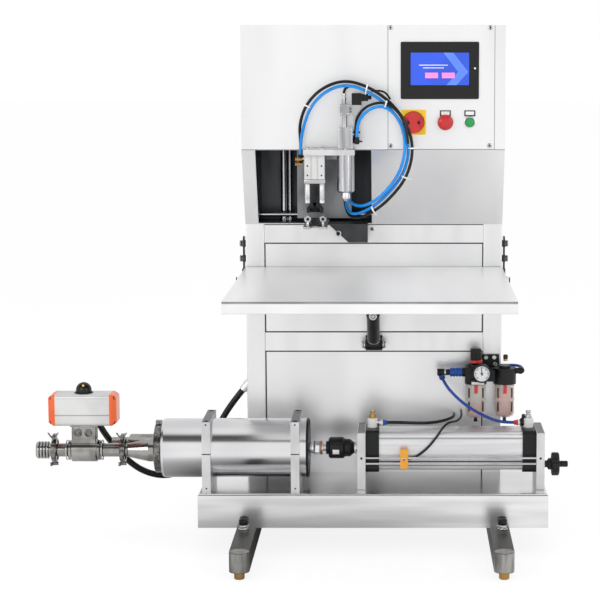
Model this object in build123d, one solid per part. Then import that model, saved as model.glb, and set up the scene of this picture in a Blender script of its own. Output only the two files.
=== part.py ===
from build123d import *
import os
from math import atan2, cos, degrees, hypot, pi, radians, sin, tan

# Bag-in-box filling machine, one STEP file per sub-part.
# It stands on Z = 0. While it is modelled, X = 0 is its middle and Y = 0 the column's front.

# Fits
RUNNING = 0.05
LOOSE = 0.3
SHEET = 2.0

# Column of square tube
COLUMN_WIDTH = 680.0
COLUMN_DEPTH = 450.0
POST = 50.0
POST_WALL = 3.0
RAIL_HEIGHT = 49.0
LOW_RAIL_Z = 490.0
PANEL_SETBACK = 2.0

# Base tray and floor beams
BASE_WIDTH = 900.0
BASE_FRONT = 250.0
BASE_TOP = 158.0
BASE_SKIRT = 89.0
BASE_SHEET = 3.0
FOLD_RADIUS = 8.0
BEAM = 50.0
BEAM_X = 325.0
BEAM_REACH = 504.0
BEAM_TAIL = 30.0
FOOT_DIAMETER = 26.0
FOOT_HEIGHT = 19.0
FOOT_STEM = 12.0
FOOT_STEM_LENGTH = 30.0

# Head with its sloping mouth
HEAD_BOTTOM = 829.0
HEAD_TOP = 1350.0
HEAD_REACH = 100.0
SLOPE_TOP = 1031.0
MOUTH_LEFT = -COLUMN_WIDTH / 2 + 35.0
MOUTH_RIGHT = -5.0
MOUTH_MARGIN = 3.0
LINER_DEPTH = 125.0
POST_RODS = ((MOUTH_LEFT + 62.0, 16.0), (MOUTH_LEFT + 79.0, 10.0))

# Control panel and its fittings
PANEL_LEFT = 39.0
PANEL_SHEET = 2.0
TOUCH_X = 171.5
TOUCH_Z = 1234.5
TOUCH_WIDTH = 201.0
TOUCH_HEIGHT = 146.0
TOUCH_CASE_DEPTH = 38.0
TOUCH_BEZEL = 6.0
SCREEN_WIDTH = 154.0
SCREEN_HEIGHT = 87.0
SCREEN_SHIFT = 4.0
SWITCH_X = 104.0
CONTROLS_Z = 1102.0
SWITCH_PLATE = 64.0
SWITCH_KNOB = 54.0
KNOB_HEIGHT = 24.0
STOP_X = 186.0
STOP_HEAD = 40.0
START_X = 249.0
START_HEAD = 22.0
BUTTON_HOLE = 22.0
BUTTON_COLLAR = 30.0
BUTTON_TRAVEL = 5.0
HOLDER_WIDTH = 28.0
HOLDER_HEIGHT = 15.0
HOLDER_RISE = 21.0

# Filling carriage: rails, plate, cap lifter and nozzle
RAIL_DIAMETER = 12.0
RAIL_Y = 59.0
LOWER_RAIL_Z = 850.0
UPPER_RAIL_Z = 1100.0
CARRIAGE_TRAVEL = 79.0
ARM_X = (-130.0, -60.0)
BACK_LEFT = -204.0
SLIDE_PLATE = 8.0
PLATE_FRONT = -192.0
PLATE_BACK = -112.0
PLATE_LEFT = -176.0
PLATE_RIGHT = -46.0
PLATE_BOTTOM = 1022.0
PLATE_THICK = 14.0
FILL_Y = -155.0
LIFTER_X = -148.5
LIFTER_WIDTH = 52.0
LIFTER_DEPTH = 40.0
LIFTER_HEIGHT = 62.0
LIFTER_ROD = 12.0
LIFTER_PITCH = 36.0
NOZZLE_X = LIFTER_X + CARRIAGE_TRAVEL
NOZZLE_DIAMETER = 45.0
NOZZLE_LENGTH = 96.0
TIP_DIAMETER = 20.0
TIP_LENGTH = 22.0
STROKE_CYLINDER = 38.0
STROKE_CYLINDER_HEIGHT = 56.0
ELBOW_Y = FILL_Y - 13.0
ELBOW_X = NOZZLE_X + STROKE_CYLINDER / 2 + 10.0
ELBOW_TOP = PLATE_BOTTOM + 45.0

# Bag table and its strut
TABLE_TOP = 716.0
TABLE_REACH = 704.0
TABLE_SHEET = 2.0
TABLE_LIP = 29.0
TABLE_GAP = 4.0
STRUT_FOOT = (-32.0, 512.0)
STRUT_HEAD = (-262.0, 672.0)
STRUT_TUBE = 33.0
STRUT_TUBE_LENGTH = 185.0
STRUT_ROD = 20.0
STRUT_PIN = 12.0

# Piston pump
PUMP_Y = -135.0
PUMP_Z = 255.0
PRODUCT_BORE = 146.0
PRODUCT_WALL = 4.0
PRODUCT_LEFT = -551.0
PRODUCT_RIGHT = -168.0
HEAD_CAP = 15.0
BLOCK_DEPTH = 170.0
BLOCK_HEIGHT = 181.0
BLOCK_THICK = 22.0
BLOCK_X = (-430.0, -201.0)
BLOCK_SPLIT = 1.5
PISTON_LENGTH = 40.0
PUMP_ROD = 26.0
COUPLING_DIAMETER = 56.0
COUPLING_LEFT = -124.0
AIR_ROD = 22.0

# Air cylinder
AIR_LEFT = -41.0
AIR_RIGHT = 443.0
AIR_PLATE = 21.0
AIR_PLATE_DEPTH = 140.0
AIR_PLATE_HEIGHT = 150.0
AIR_CAP = 110.0
AIR_CAP_LENGTH = 35.0
AIR_BARREL = 100.0
AIR_BORE = 84.0
AIR_PISTON_LENGTH = 40.0
TRIM_ROD = 6.0
TRIM_Y = -199.5
TRIM_ROD_Z = (241.0, 226.0)
READER_X = 80.0
READER_WIDTH = 20.0
READER_HEIGHT = 50.0
READER_DEPTH = 14.0
HANDWHEEL = 60.0

# Valve line at the pump's head
LINE_Y = -164.5
BRANCH_Y = -105.5
FLANGE = 119.0
FLANGE_THICK = 9.0
PIPE = 35.0
PIPE_WALL = 2.0
CONE_END = 60.0
CONE_LENGTH = 82.0
FERRULE = 50.5
CLAMP_WIDTH = 13.0
VALVE_X = -750.0
VALVE_DIAMETER = 60.0
VALVE_LENGTH = 68.0
VALVE_NUT = 52.0
VALVE_NUT_LENGTH = 8.0
BALL = 46.0
VALVE_BORE = 28.0
STEM = 12.0
ACTUATOR_LENGTH = 140.0
ACTUATOR_DEPTH = 72.0
ACTUATOR_HEIGHT = 82.0
ACTUATOR_BOTTOM = 324.5
ACTUATOR_CAP = 18.0
DOME = 40.0

# Air service unit on the right post
SERVICE_Y = -52.0
REGULATOR_X = COLUMN_WIDTH / 2 - 70.0
OILER_X = REGULATOR_X + 76.5
SERVICE_BODY = 56.0
BODY_BOTTOM = 411.0
BODY_TOP = 463.0
PORT_Z = 441.0
BOWL = 52.0
BOWL_HEIGHT = 90.0
KNOB = 29.0
KNOB_TRAVEL = 3.0
GAUGE = 48.0
GAUGE_X = REGULATOR_X + 14.0
GAUGE_Z = 445.0

# Hoses
LOOM = 17.0
AIR_TUBE = 8.0
SMALL_TUBE = 6.0
LOOP_START_Y = (-160.5, -148.5)
HOSE_ENDS = ((-72.0, -70.0), (-84.0, -70.0), (-72.0, -92.0))


def box(x0, x1, y0, y1, z0, z1):
    """Block between two corners."""
    return Pos((x0 + x1) / 2, (y0 + y1) / 2, (z0 + z1) / 2) * Box(x1 - x0, y1 - y0, z1 - z0)


def rod_x(x0, x1, y, z, diameter):
    """Round bar along X."""
    return Pos((x0 + x1) / 2, y, z) * Rot(0, 90, 0) * Cylinder(diameter / 2, x1 - x0)


def rod_y(y0, y1, x, z, diameter):
    """Round bar along Y."""
    return Pos(x, (y0 + y1) / 2, z) * Rot(90, 0, 0) * Cylinder(diameter / 2, y1 - y0)


def rod_z(z0, z1, x, y, diameter):
    """Round bar along Z."""
    return Pos(x, y, (z0 + z1) / 2) * Cylinder(diameter / 2, z1 - z0)


def turned_x(points, y, z):
    """Body of revolution about a line along X, from (x, radius) points."""
    outline = Polyline(*[(x, radius, 0) for x, radius in points], close=True)
    return Pos(0, y, z) * revolve(make_face(outline), Axis.X, 360)


def turned_z(points, x, y):
    """Body of revolution about a line along Z, from (radius, z) points."""
    outline = Polyline(*[(radius, 0, z) for radius, z in points], close=True)
    return Pos(x, y, 0) * revolve(make_face(outline), Axis.Z, 360)


def bar_between(start, end, diameter, x=0.0):
    """Round bar in the YZ plane between two (y, z) points."""
    run = hypot(end[0] - start[0], end[1] - start[1])
    lean = degrees(atan2(end[0] - start[0], end[1] - start[1]))
    middle = ((start[0] + end[0]) / 2, (start[1] + end[1]) / 2)
    return Pos(x, middle[0], middle[1]) * Rot(-lean, 0, 0) * Cylinder(diameter / 2, run)


def side_profile(points, x0, x1):
    """Plate cut to a (y, z) outline and extruded along X."""
    face = make_face(Polyline(*[(0, y, z) for y, z in points], close=True))
    return Pos(x0, 0, 0) * extrude(face, x1 - x0, dir=(1, 0, 0))


def front_profile(points, y0, y1):
    """Plate cut to an (x, z) outline and extruded along Y."""
    face = make_face(Polyline(*[(x, 0, z) for x, z in points], close=True))
    return Pos(0, y0, 0) * extrude(face, y1 - y0, dir=(0, 1, 0))


def group(*solids):
    """Separate solids that share a node."""
    flat = []
    for item in solids:
        flat.extend(item.solids())
    return Compound(flat)


# Column, base and head

def base_tray():
    """Folded tray with rounded front folds, open underneath."""
    bottom = BASE_TOP - BASE_SKIRT
    tray = box(-BASE_WIDTH / 2, BASE_WIDTH / 2, -BASE_FRONT, COLUMN_DEPTH, bottom, BASE_TOP)
    tray = fillet(tray.edges().group_by(Axis.Z)[-1], FOLD_RADIUS)
    room = box(
        -BASE_WIDTH / 2 + BASE_SHEET, BASE_WIDTH / 2 - BASE_SHEET,
        -BASE_FRONT + BASE_SHEET, COLUMN_DEPTH - BASE_SHEET,
        bottom - 1, BASE_TOP - BASE_SHEET,
    )
    room = fillet(room.edges().group_by(Axis.Z)[-1], FOLD_RADIUS - BASE_SHEET)
    return tray - room


def floor_beam(x):
    """Solid bar with half-round noses and a tapped seat for a foot at each end."""
    z0 = FOOT_HEIGHT
    tail = COLUMN_DEPTH + BEAM_TAIL
    beam = box(x - BEAM / 2, x + BEAM / 2, -BEAM_REACH + BEAM / 2, tail - BEAM / 2, z0, z0 + BEAM)
    for y in (-BEAM_REACH + BEAM / 2, tail - BEAM / 2):
        beam += rod_z(z0, z0 + BEAM, x, y, BEAM)
    for y in foot_places():
        beam -= rod_z(z0 - 1, z0 + FOOT_STEM_LENGTH + 1, x, y, FOOT_STEM + 2 * LOOSE)
    return beam


def foot_places():
    """Y of the front and the rear levelling feet."""
    return (-BEAM_REACH + BEAM / 2, COLUMN_DEPTH + BEAM_TAIL - BEAM / 2)


def floor_beams():
    """Pair of beams that carry the tray."""
    return group(*[floor_beam(side * BEAM_X) for side in (-1, 1)])


def levelling_feet():
    """Four brass pads, each on a stem that screws into its beam."""
    feet = []
    for x in (-BEAM_X, BEAM_X):
        for y in foot_places():
            pad = rod_z(0, FOOT_HEIGHT - LOOSE, x, y, FOOT_DIAMETER)
            pad = chamfer(pad.edges().group_by(Axis.Z)[0], 2)
            stem = rod_z(FOOT_HEIGHT - LOOSE, FOOT_HEIGHT + FOOT_STEM_LENGTH, x, y, FOOT_STEM)
            feet.append(pad + stem)
    return group(*feet)


def square_post(x0, y0, z0, z1):
    """Upright square tube, closed by the pieces above and below."""
    tube = box(x0, x0 + POST, y0, y0 + POST, z0, z1)
    tube = fillet(tube.edges().filter_by(Axis.Z), 3)
    w = POST_WALL
    return tube - box(x0 + w, x0 + POST - w, y0 + w, y0 + POST - w, z0 + w, z1 - w)


def column_frame():
    """Four posts joined by rails, welded into one piece."""
    half = COLUMN_WIDTH / 2
    frame = None
    for x in (-half, half - POST):
        for y in (0, COLUMN_DEPTH - POST):
            post = square_post(x, y, BASE_TOP, HEAD_BOTTOM)
            frame = post if frame is None else frame + post
    inner = half - POST
    for z in (LOW_RAIL_Z, HEAD_BOTTOM - RAIL_HEIGHT):
        for y in (0, COLUMN_DEPTH - POST):
            frame += box(-inner, inner, y + 1, y + POST - 1, z, z + RAIL_HEIGHT)
        for x in (-half + 1, half - POST + 1):
            frame += box(x, x + POST - 2, POST, COLUMN_DEPTH - POST, z, z + RAIL_HEIGHT)
    return frame + loom_gland(-half + 1)


def loom_gland(wall_x):
    """Slanting gland on the left post where the loom goes in."""
    x0, y0, z0 = LOOM_ROUTE[-2]
    x1, y1, z1 = LOOM_ROUTE[-1]
    slope = (x1 - x0, y1 - y0, z1 - z0)
    gland = extrude(Plane((x1, y1, z1), z_dir=slope) * Circle(LOOM / 2 + 3), 40)
    return gland - box(wall_x, wall_x + 60, y1 - 30, y1 + 30, z1 - 30, z1 + 60)


def cover_panels():
    """Front, side and rear sheets set into the column's frame."""
    half = COLUMN_WIDTH / 2
    inner = half - POST
    low, high = LOW_RAIL_Z, HEAD_BOTTOM - RAIL_HEIGHT
    bays = ((BASE_TOP, low), (low + RAIL_HEIGHT, TABLE_TOP - TABLE_LIP), (TABLE_TOP - TABLE_LIP + 2, high))
    sheets = []
    for z0, z1 in bays:
        sheets.append(box(-inner, inner, PANEL_SETBACK, PANEL_SETBACK + SHEET, z0, z1))
    for x in (-half + PANEL_SETBACK, half - PANEL_SETBACK - SHEET):
        for z0, z1 in ((BASE_TOP, low), (low + RAIL_HEIGHT, high)):
            sheets.append(box(x, x + SHEET, POST, COLUMN_DEPTH - POST, z0, z1))
    back = COLUMN_DEPTH - PANEL_SETBACK - SHEET
    for z0, z1 in ((BASE_TOP, low), (low + RAIL_HEIGHT, high)):
        sheet = box(-inner, inner, back, back + SHEET, z0, z1)
        for step in range(8):
            z = (z0 + z1) / 2 - 56 + 16 * step
            sheet -= box(-120, 120, back - 1, back + SHEET + 1, z - 2, z + 2)
        sheets.append(sheet)
    return group(*sheets)


def head_outline(inset):
    """Head in side view, moved inwards by an inset: level top, upright front and slope."""
    lean = atan2(HEAD_REACH, SLOPE_TOP - HEAD_BOTTOM)
    shift = inset * tan(lean / 2)
    foot = inset / cos(lean) - inset * tan(lean)
    return [
        (COLUMN_DEPTH - inset, HEAD_BOTTOM + inset),
        (foot, HEAD_BOTTOM + inset),
        (-HEAD_REACH + inset, SLOPE_TOP + shift),
        (-HEAD_REACH + inset, HEAD_TOP - inset),
        (COLUMN_DEPTH - inset, HEAD_TOP - inset),
    ]


def head_casing():
    """Sheet head with the mouth cut in its slope and a bay cut for the control panel."""
    half = COLUMN_WIDTH / 2
    shell = side_profile(head_outline(0), -half, half)
    shell -= side_profile(head_outline(SHEET), -half + SHEET, half - SHEET)
    shell -= box(
        MOUTH_LEFT, MOUTH_RIGHT, -HEAD_REACH - 1, LINER_DEPTH,
        HEAD_BOTTOM + MOUTH_MARGIN, SLOPE_TOP - 1,
    )
    shell -= box(
        PANEL_LEFT + 20, half - 50, -HEAD_REACH - 1, -HEAD_REACH + SHEET + 1,
        SLOPE_TOP + 20, HEAD_TOP - 20,
    )
    return shell


def head_liner():
    """Dark box behind the mouth: two cheeks, a sill and the back plate."""
    z0 = HEAD_BOTTOM + MOUTH_MARGIN
    top = HEAD_TOP - 60
    lean = HEAD_REACH / (SLOPE_TOP - HEAD_BOTTOM)
    cheek = [
        (8 - lean * 3, z0), (LINER_DEPTH, z0), (LINER_DEPTH, top),
        (-HEAD_REACH + 12, top), (-HEAD_REACH + 12, SLOPE_TOP + 8),
    ]
    left = side_profile(cheek, MOUTH_LEFT - SHEET, MOUTH_LEFT)
    right = side_profile(cheek, MOUTH_RIGHT, MOUTH_RIGHT + SHEET)
    back = box(MOUTH_LEFT - SHEET, MOUTH_RIGHT + SHEET, LINER_DEPTH, LINER_DEPTH + SHEET, z0, top)
    sill = box(MOUTH_LEFT, MOUTH_RIGHT, 8, LINER_DEPTH, HEAD_BOTTOM + SHEET, z0 + 1)
    return left + right + back + sill


def control_panel():
    """Panel plate on the head's right front, with a hole for each fitting."""
    right = COLUMN_WIDTH / 2 - 28
    y0 = -HEAD_REACH - PANEL_SHEET
    plate = box(PANEL_LEFT, right, y0, -HEAD_REACH, SLOPE_TOP + 2, HEAD_TOP - 1)
    plate -= box(
        TOUCH_X - TOUCH_WIDTH / 2 + 8, TOUCH_X + TOUCH_WIDTH / 2 - 8, y0 - 1, -HEAD_REACH + 1,
        TOUCH_Z - TOUCH_HEIGHT / 2 + 8, TOUCH_Z + TOUCH_HEIGHT / 2 - 8,
    )
    for x in (SWITCH_X, STOP_X, START_X):
        plate -= rod_y(y0 - 1, -HEAD_REACH + 1, x, CONTROLS_Z, BUTTON_HOLE + 2 * LOOSE)
    return plate


def panel_face():
    """Y of the control panel's outer face."""
    return -HEAD_REACH - PANEL_SHEET


def touch_panel():
    """Operator panel: bezel with softened corners, recessed screen well and a case behind."""
    face = panel_face()
    x0, x1 = TOUCH_X - TOUCH_WIDTH / 2, TOUCH_X + TOUCH_WIDTH / 2
    z0, z1 = TOUCH_Z - TOUCH_HEIGHT / 2, TOUCH_Z + TOUCH_HEIGHT / 2
    bezel = box(x0, x1, face - TOUCH_BEZEL, face, z0, z1)
    bezel = fillet(bezel.edges().filter_by(Axis.Y), 4)
    bezel = chamfer(bezel.faces().sort_by(Axis.Y)[0].edges(), 1.5)
    screen_z = TOUCH_Z + SCREEN_SHIFT
    bezel -= box(
        TOUCH_X - SCREEN_WIDTH / 2, TOUCH_X + SCREEN_WIDTH / 2,
        face - TOUCH_BEZEL - 1, face - TOUCH_BEZEL + 1.5,
        screen_z - SCREEN_HEIGHT / 2, screen_z + SCREEN_HEIGHT / 2,
    )
    case = box(x0 + 10, x1 - 10, face, face + TOUCH_CASE_DEPTH, z0 + 10, z1 - 10)
    return bezel + case


def switch_plate():
    """Square yellow backing plate of the main switch, with its bush through the panel."""
    face = panel_face()
    half = SWITCH_PLATE / 2
    plate = box(SWITCH_X - half, SWITCH_X + half, face - 3, face, CONTROLS_Z - half, CONTROLS_Z + half)
    plate = fillet(plate.edges().filter_by(Axis.Y), 3)
    bush = rod_y(face, face + 30, SWITCH_X, CONTROLS_Z, BUTTON_HOLE)
    return plate + bush - rod_y(face - 4, face + 26, SWITCH_X, CONTROLS_Z, 8 + 2 * RUNNING)


def switch_knob():
    """Round knob with two finger scoops, on its spindle."""
    back = panel_face() - 3 - LOOSE
    knob = rod_y(back - KNOB_HEIGHT, back, SWITCH_X, CONTROLS_Z, SWITCH_KNOB)
    knob = fillet(knob.faces().sort_by(Axis.Y)[0].edges(), 2)
    for side in (-1, 1):
        scoop = Pos(SWITCH_X + side * SWITCH_KNOB / 2, back - KNOB_HEIGHT - 4, CONTROLS_Z)
        knob -= scoop * Rot(90, 0, 0) * Cylinder(16, 32)
    return knob + rod_y(back, back + 20, SWITCH_X, CONTROLS_Z, 8)


def button_fittings():
    """Collars of the two push-buttons and the label holders above them."""
    face = panel_face()
    solids = []
    for x in (STOP_X, START_X):
        collar = rod_y(face - 5, face, x, CONTROLS_Z, BUTTON_COLLAR)
        collar = chamfer(collar.faces().sort_by(Axis.Y)[0].edges(), 1)
        collar += rod_y(face, face + 26, x, CONTROLS_Z, BUTTON_HOLE)
        solids.append(collar - rod_y(face - 6, face + 22, x, CONTROLS_Z, 16 + 2 * RUNNING))
        z = CONTROLS_Z + HOLDER_RISE
        w, h = HOLDER_WIDTH / 2, HOLDER_HEIGHT / 2
        holder = box(x - w, x + w, face - 2.5, face, z - h + 2, z + h + 2)
        holder -= box(x - w + 2.5, x + w - 2.5, face - 3, face - 1.5, z - h + 4.5, z + h - 0.5)
        solids.append(holder)
    return group(*solids)


def stop_button():
    """Mushroom head on its plunger."""
    back = panel_face() - 5 - BUTTON_TRAVEL - LOOSE
    points = [(0, -15), (11, -14), (17, -11), (20, -6), (20, -3), (16, 0), (0, 0)]
    outline = Polyline(*[(radius * STOP_HEAD / 40, y, 0) for radius, y in points], close=True)
    head = Pos(STOP_X, back, CONTROLS_Z) * revolve(make_face(outline), Axis.Y, 360)
    return head + rod_y(back, back + 24, STOP_X, CONTROLS_Z, 16)


def start_button():
    """Flat round button inside its collar."""
    face = panel_face()
    back = face - 5 - BUTTON_TRAVEL - LOOSE
    head = rod_y(back - 3, back, START_X, CONTROLS_Z, START_HEAD)
    head = chamfer(head.faces().sort_by(Axis.Y)[0].edges(), 0.8)
    return head + rod_y(back, face + 12, START_X, CONTROLS_Z, 16)


# Filling carriage

def guide_rods():
    """Two level rails for the carriage and two upright posts beside them."""
    rods = [
        rod_x(MOUTH_LEFT, MOUTH_RIGHT, RAIL_Y, LOWER_RAIL_Z, RAIL_DIAMETER),
        rod_x(MOUTH_LEFT, MOUTH_RIGHT, RAIL_Y, UPPER_RAIL_Z, RAIL_DIAMETER),
    ]
    for x, diameter in POST_RODS:
        base = HEAD_BOTTOM + MOUTH_MARGIN + 1
        post = rod_z(base, HEAD_TOP - 62, x, 90, diameter)
        rods.append(post + rod_z(base, base + 6, x, 90, diameter + 5))
    return group(*rods)


def carriage_plate():
    """Top plate, arm through the mouth, back plate and the slide blocks on the rails."""
    plate = box(PLATE_LEFT, PLATE_RIGHT, PLATE_FRONT, PLATE_BACK, PLATE_BOTTOM, PLATE_BOTTOM + PLATE_THICK)
    plate = fillet(plate.edges().filter_by(Axis.Z), 4)
    x0, x1 = ARM_X
    back_rear = RAIL_Y - 14
    plate += box(x0, x1, PLATE_BACK - 16, back_rear, PLATE_BOTTOM - 14, PLATE_BOTTOM)
    plate += box(BACK_LEFT, x1, back_rear - SLIDE_PLATE, back_rear, LOWER_RAIL_Z - 8, UPPER_RAIL_Z + 14)
    for z in (LOWER_RAIL_Z, UPPER_RAIL_Z):
        low = 8 if z == LOWER_RAIL_Z else 14
        plate += box(x0, x1, back_rear, RAIL_Y + 14, z - low, z + 14)
        plate -= rod_x(x0 - 1, x1 + 1, RAIL_Y, z, RAIL_DIAMETER + 2 * RUNNING)
    for x, y in HOSE_ENDS:
        plate += rod_z(PLATE_BOTTOM - 28, PLATE_BOTTOM - 14, x, y, 11)
    return plate - rod_z(PLATE_BOTTOM - 1, PLATE_BOTTOM + PLATE_THICK + 1, NOZZLE_X, FILL_Y, 16)


def guided_cylinder():
    """Compact guided cylinder with slots in its face and cross holes."""
    x0, x1 = LIFTER_X - LIFTER_WIDTH / 2, LIFTER_X + LIFTER_WIDTH / 2
    y0, y1 = FILL_Y - LIFTER_DEPTH / 2, FILL_Y + LIFTER_DEPTH / 2
    z0 = PLATE_BOTTOM - LIFTER_HEIGHT
    body = box(x0, x1, y0, y1, z0, PLATE_BOTTOM)
    body = fillet(body.edges().filter_by(Axis.Z), 2)
    for x in (LIFTER_X - 8, LIFTER_X + 8):
        body -= box(x - 2, x + 2, y0 - 1, y0 + 3, z0 - 1, PLATE_BOTTOM + 1)
    for x in (LIFTER_X - LIFTER_PITCH / 2, LIFTER_X + LIFTER_PITCH / 2):
        body -= rod_z(z0 - 1, PLATE_BOTTOM - 4, x, FILL_Y, LIFTER_ROD + 2 * RUNNING)
        for z in (z0 + 10, z0 + 34):
            body -= rod_y(y0 - 1, y0 + 6, x, z, 4.5)
    body -= rod_z(z0 - 1, PLATE_BOTTOM - 4, LIFTER_X, FILL_Y, 14 + 2 * RUNNING)
    for y in LOOP_START_Y:
        body += rod_x(x0 - 10, x0, y, PLATE_BOTTOM - 10, 8)
        body += rod_z(PLATE_BOTTOM - 15, PLATE_BOTTOM - 2, x0 - 10, y, 10)
    return body


def cap_lifter():
    """Moving plate with its rods, the two stand-offs and the claw that holds the cap."""
    top = PLATE_BOTTOM - LIFTER_HEIGHT - LOOSE
    half = LIFTER_WIDTH / 2 + 1
    plate = box(LIFTER_X - half, LIFTER_X + half, FILL_Y - 21, FILL_Y + 21, top - 11, top)
    plate = fillet(plate.edges().filter_by(Axis.Z), 2)
    for side in (-1, 1):
        x = LIFTER_X + side * LIFTER_PITCH / 2
        plate += rod_z(top, PLATE_BOTTOM - 10, x, FILL_Y, LIFTER_ROD)
        plate += rod_z(top - 62, top - 11, x, FILL_Y - 6, 15)
    plate += rod_z(top, PLATE_BOTTOM - 10, LIFTER_X, FILL_Y, 14)
    claw_bottom = top - 86
    web = [
        (LIFTER_X - 11, top - 11), (LIFTER_X + 11, top - 11), (LIFTER_X + 11, claw_bottom + 26),
        (LIFTER_X + 21, claw_bottom + 12), (LIFTER_X + 21, claw_bottom),
        (LIFTER_X - 21, claw_bottom), (LIFTER_X - 21, claw_bottom + 12), (LIFTER_X - 11, claw_bottom + 26),
    ]
    claw = front_profile(web, FILL_Y - 12, FILL_Y + 14)
    claw -= rod_z(claw_bottom - 1, claw_bottom + 9, LIFTER_X, FILL_Y, 24)
    claw -= box(LIFTER_X - 12, LIFTER_X + 12, FILL_Y - 13, FILL_Y, claw_bottom - 1, claw_bottom + 9)
    return plate + claw


def nozzle_body():
    """Round filling valve under the plate and the square stroke cylinder above it."""
    low = PLATE_BOTTOM - NOZZLE_LENGTH
    r = NOZZLE_DIAMETER / 2
    outline = [(0, PLATE_BOTTOM), (r, PLATE_BOTTOM), (r, low + 3), (r - 3, low), (0, low)]
    body = turned_z(outline, NOZZLE_X, FILL_Y)
    body -= rod_z(low - 1, PLATE_BOTTOM - 10, NOZZLE_X, FILL_Y, TIP_DIAMETER + 2 * RUNNING)
    top = PLATE_BOTTOM + PLATE_THICK
    half = STROKE_CYLINDER / 2
    high = top + STROKE_CYLINDER_HEIGHT
    block = box(NOZZLE_X - half, NOZZLE_X + half, FILL_Y - half, FILL_Y + half, top, high)
    block = fillet(block.edges().filter_by(Axis.Z), 3)
    for x in (NOZZLE_X - 6, NOZZLE_X + 6):
        block -= box(x - 1.5, x + 1.5, FILL_Y - half - 1, FILL_Y - half + 2.5, top - 1, high + 1)
    neck = rod_z(PLATE_BOTTOM, top, NOZZLE_X, FILL_Y, 16 - LOOSE)
    return group(body + neck + block)


def nozzle_tip():
    """Hollow spout that drops out of the filling valve."""
    low = PLATE_BOTTOM - NOZZLE_LENGTH - TIP_LENGTH
    high = PLATE_BOTTOM - 14
    r = TIP_DIAMETER / 2
    outline = [(6, high), (r, high), (r, low + 8), (r - 2, low), (6, low)]
    return turned_z(outline, NOZZLE_X, FILL_Y)


def valve_blocks():
    """Two air valve blocks on their risers, joined by a nipple."""
    base = PLATE_BOTTOM + PLATE_THICK + STROKE_CYLINDER_HEIGHT
    left = NOZZLE_X - 2
    blocks = rod_z(base, base + 29, left, FILL_Y, 13)
    blocks += box(left - 12, left + 12, FILL_Y - 12, FILL_Y + 12, base + 29, base + 58)
    blocks += rod_x(left + 11, left + 20, FILL_Y, base + 43, 12)
    blocks += box(left + 18, left + 43, FILL_Y - 12, FILL_Y + 12, base + 29, base + 56)
    blocks += box(left + 22, left + 40, FILL_Y - 8, FILL_Y + 8, base + 6, base + 29)
    blocks += rod_z(base + 58, base + 72, left - 2, FILL_Y, 11)
    return blocks


def coil_connector():
    """Coil with its angled plug, and the black elbow at the stroke cylinder's side."""
    base = PLATE_BOTTOM + PLATE_THICK + STROKE_CYLINDER_HEIGHT
    left = NOZZLE_X + 16
    coil = box(left, left + 25, FILL_Y - 12, FILL_Y + 12, base + 56, base + 86)
    coil = fillet(coil.edges().filter_by(Axis.Y), 2)
    coil += box(left + 25, left + 42, FILL_Y - 9, FILL_Y + 9, base + 66, base + 84)
    coil += rod_x(left + 42, left + 50, FILL_Y, base + 75, 10)
    side = NOZZLE_X + STROKE_CYLINDER / 2
    elbow = rod_x(side, ELBOW_X + 7, ELBOW_Y, ELBOW_TOP - 11, 9)
    elbow += rod_z(ELBOW_TOP - 18, ELBOW_TOP, ELBOW_X, ELBOW_Y, 12)
    elbow += rod_x(ELBOW_X + 6, ELBOW_X + 14, ELBOW_Y, ELBOW_TOP - 11, 4)
    lower = rod_x(side, side + 18, FILL_Y + 12, base - 14, 5)
    return group(coil, elbow, lower)


def spout_fork():
    """Forked plate that holds the bag's spout, lying on the mouth's sill."""
    z0 = HEAD_BOTTOM + MOUTH_MARGIN + 1
    plate = box(LIFTER_X - 30, LIFTER_X + 30, FILL_Y - 30, RAIL_Y + 15, z0, z0 + 6)
    plate = fillet(plate.edges().filter_by(Axis.Z), 5)
    plate -= rod_z(z0 - 1, z0 + 7, LIFTER_X, FILL_Y, 22)
    plate -= box(LIFTER_X - 11, LIFTER_X + 11, FILL_Y - 31, FILL_Y, z0 - 1, z0 + 7)
    return plate


def wedge_bracket():
    """Bent plate under the mouth with a slanting edge, and the sensor screwed through it."""
    top = HEAD_BOTTOM + MOUTH_MARGIN + 1
    face_y = -62.0
    left = LIFTER_X + 30 + LOOSE
    low = top - 46
    face = [(left, top + SHEET), (-15, top + SHEET), (-15, low), (-66, low)]
    plate = front_profile(face, face_y, face_y + SHEET)
    flange = box(left, -15, face_y, 30, top, top + SHEET)
    barrel = rod_y(face_y - 18, face_y + 12, -92, top - 21, 10)
    return plate + flange + barrel


# Table

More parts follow.
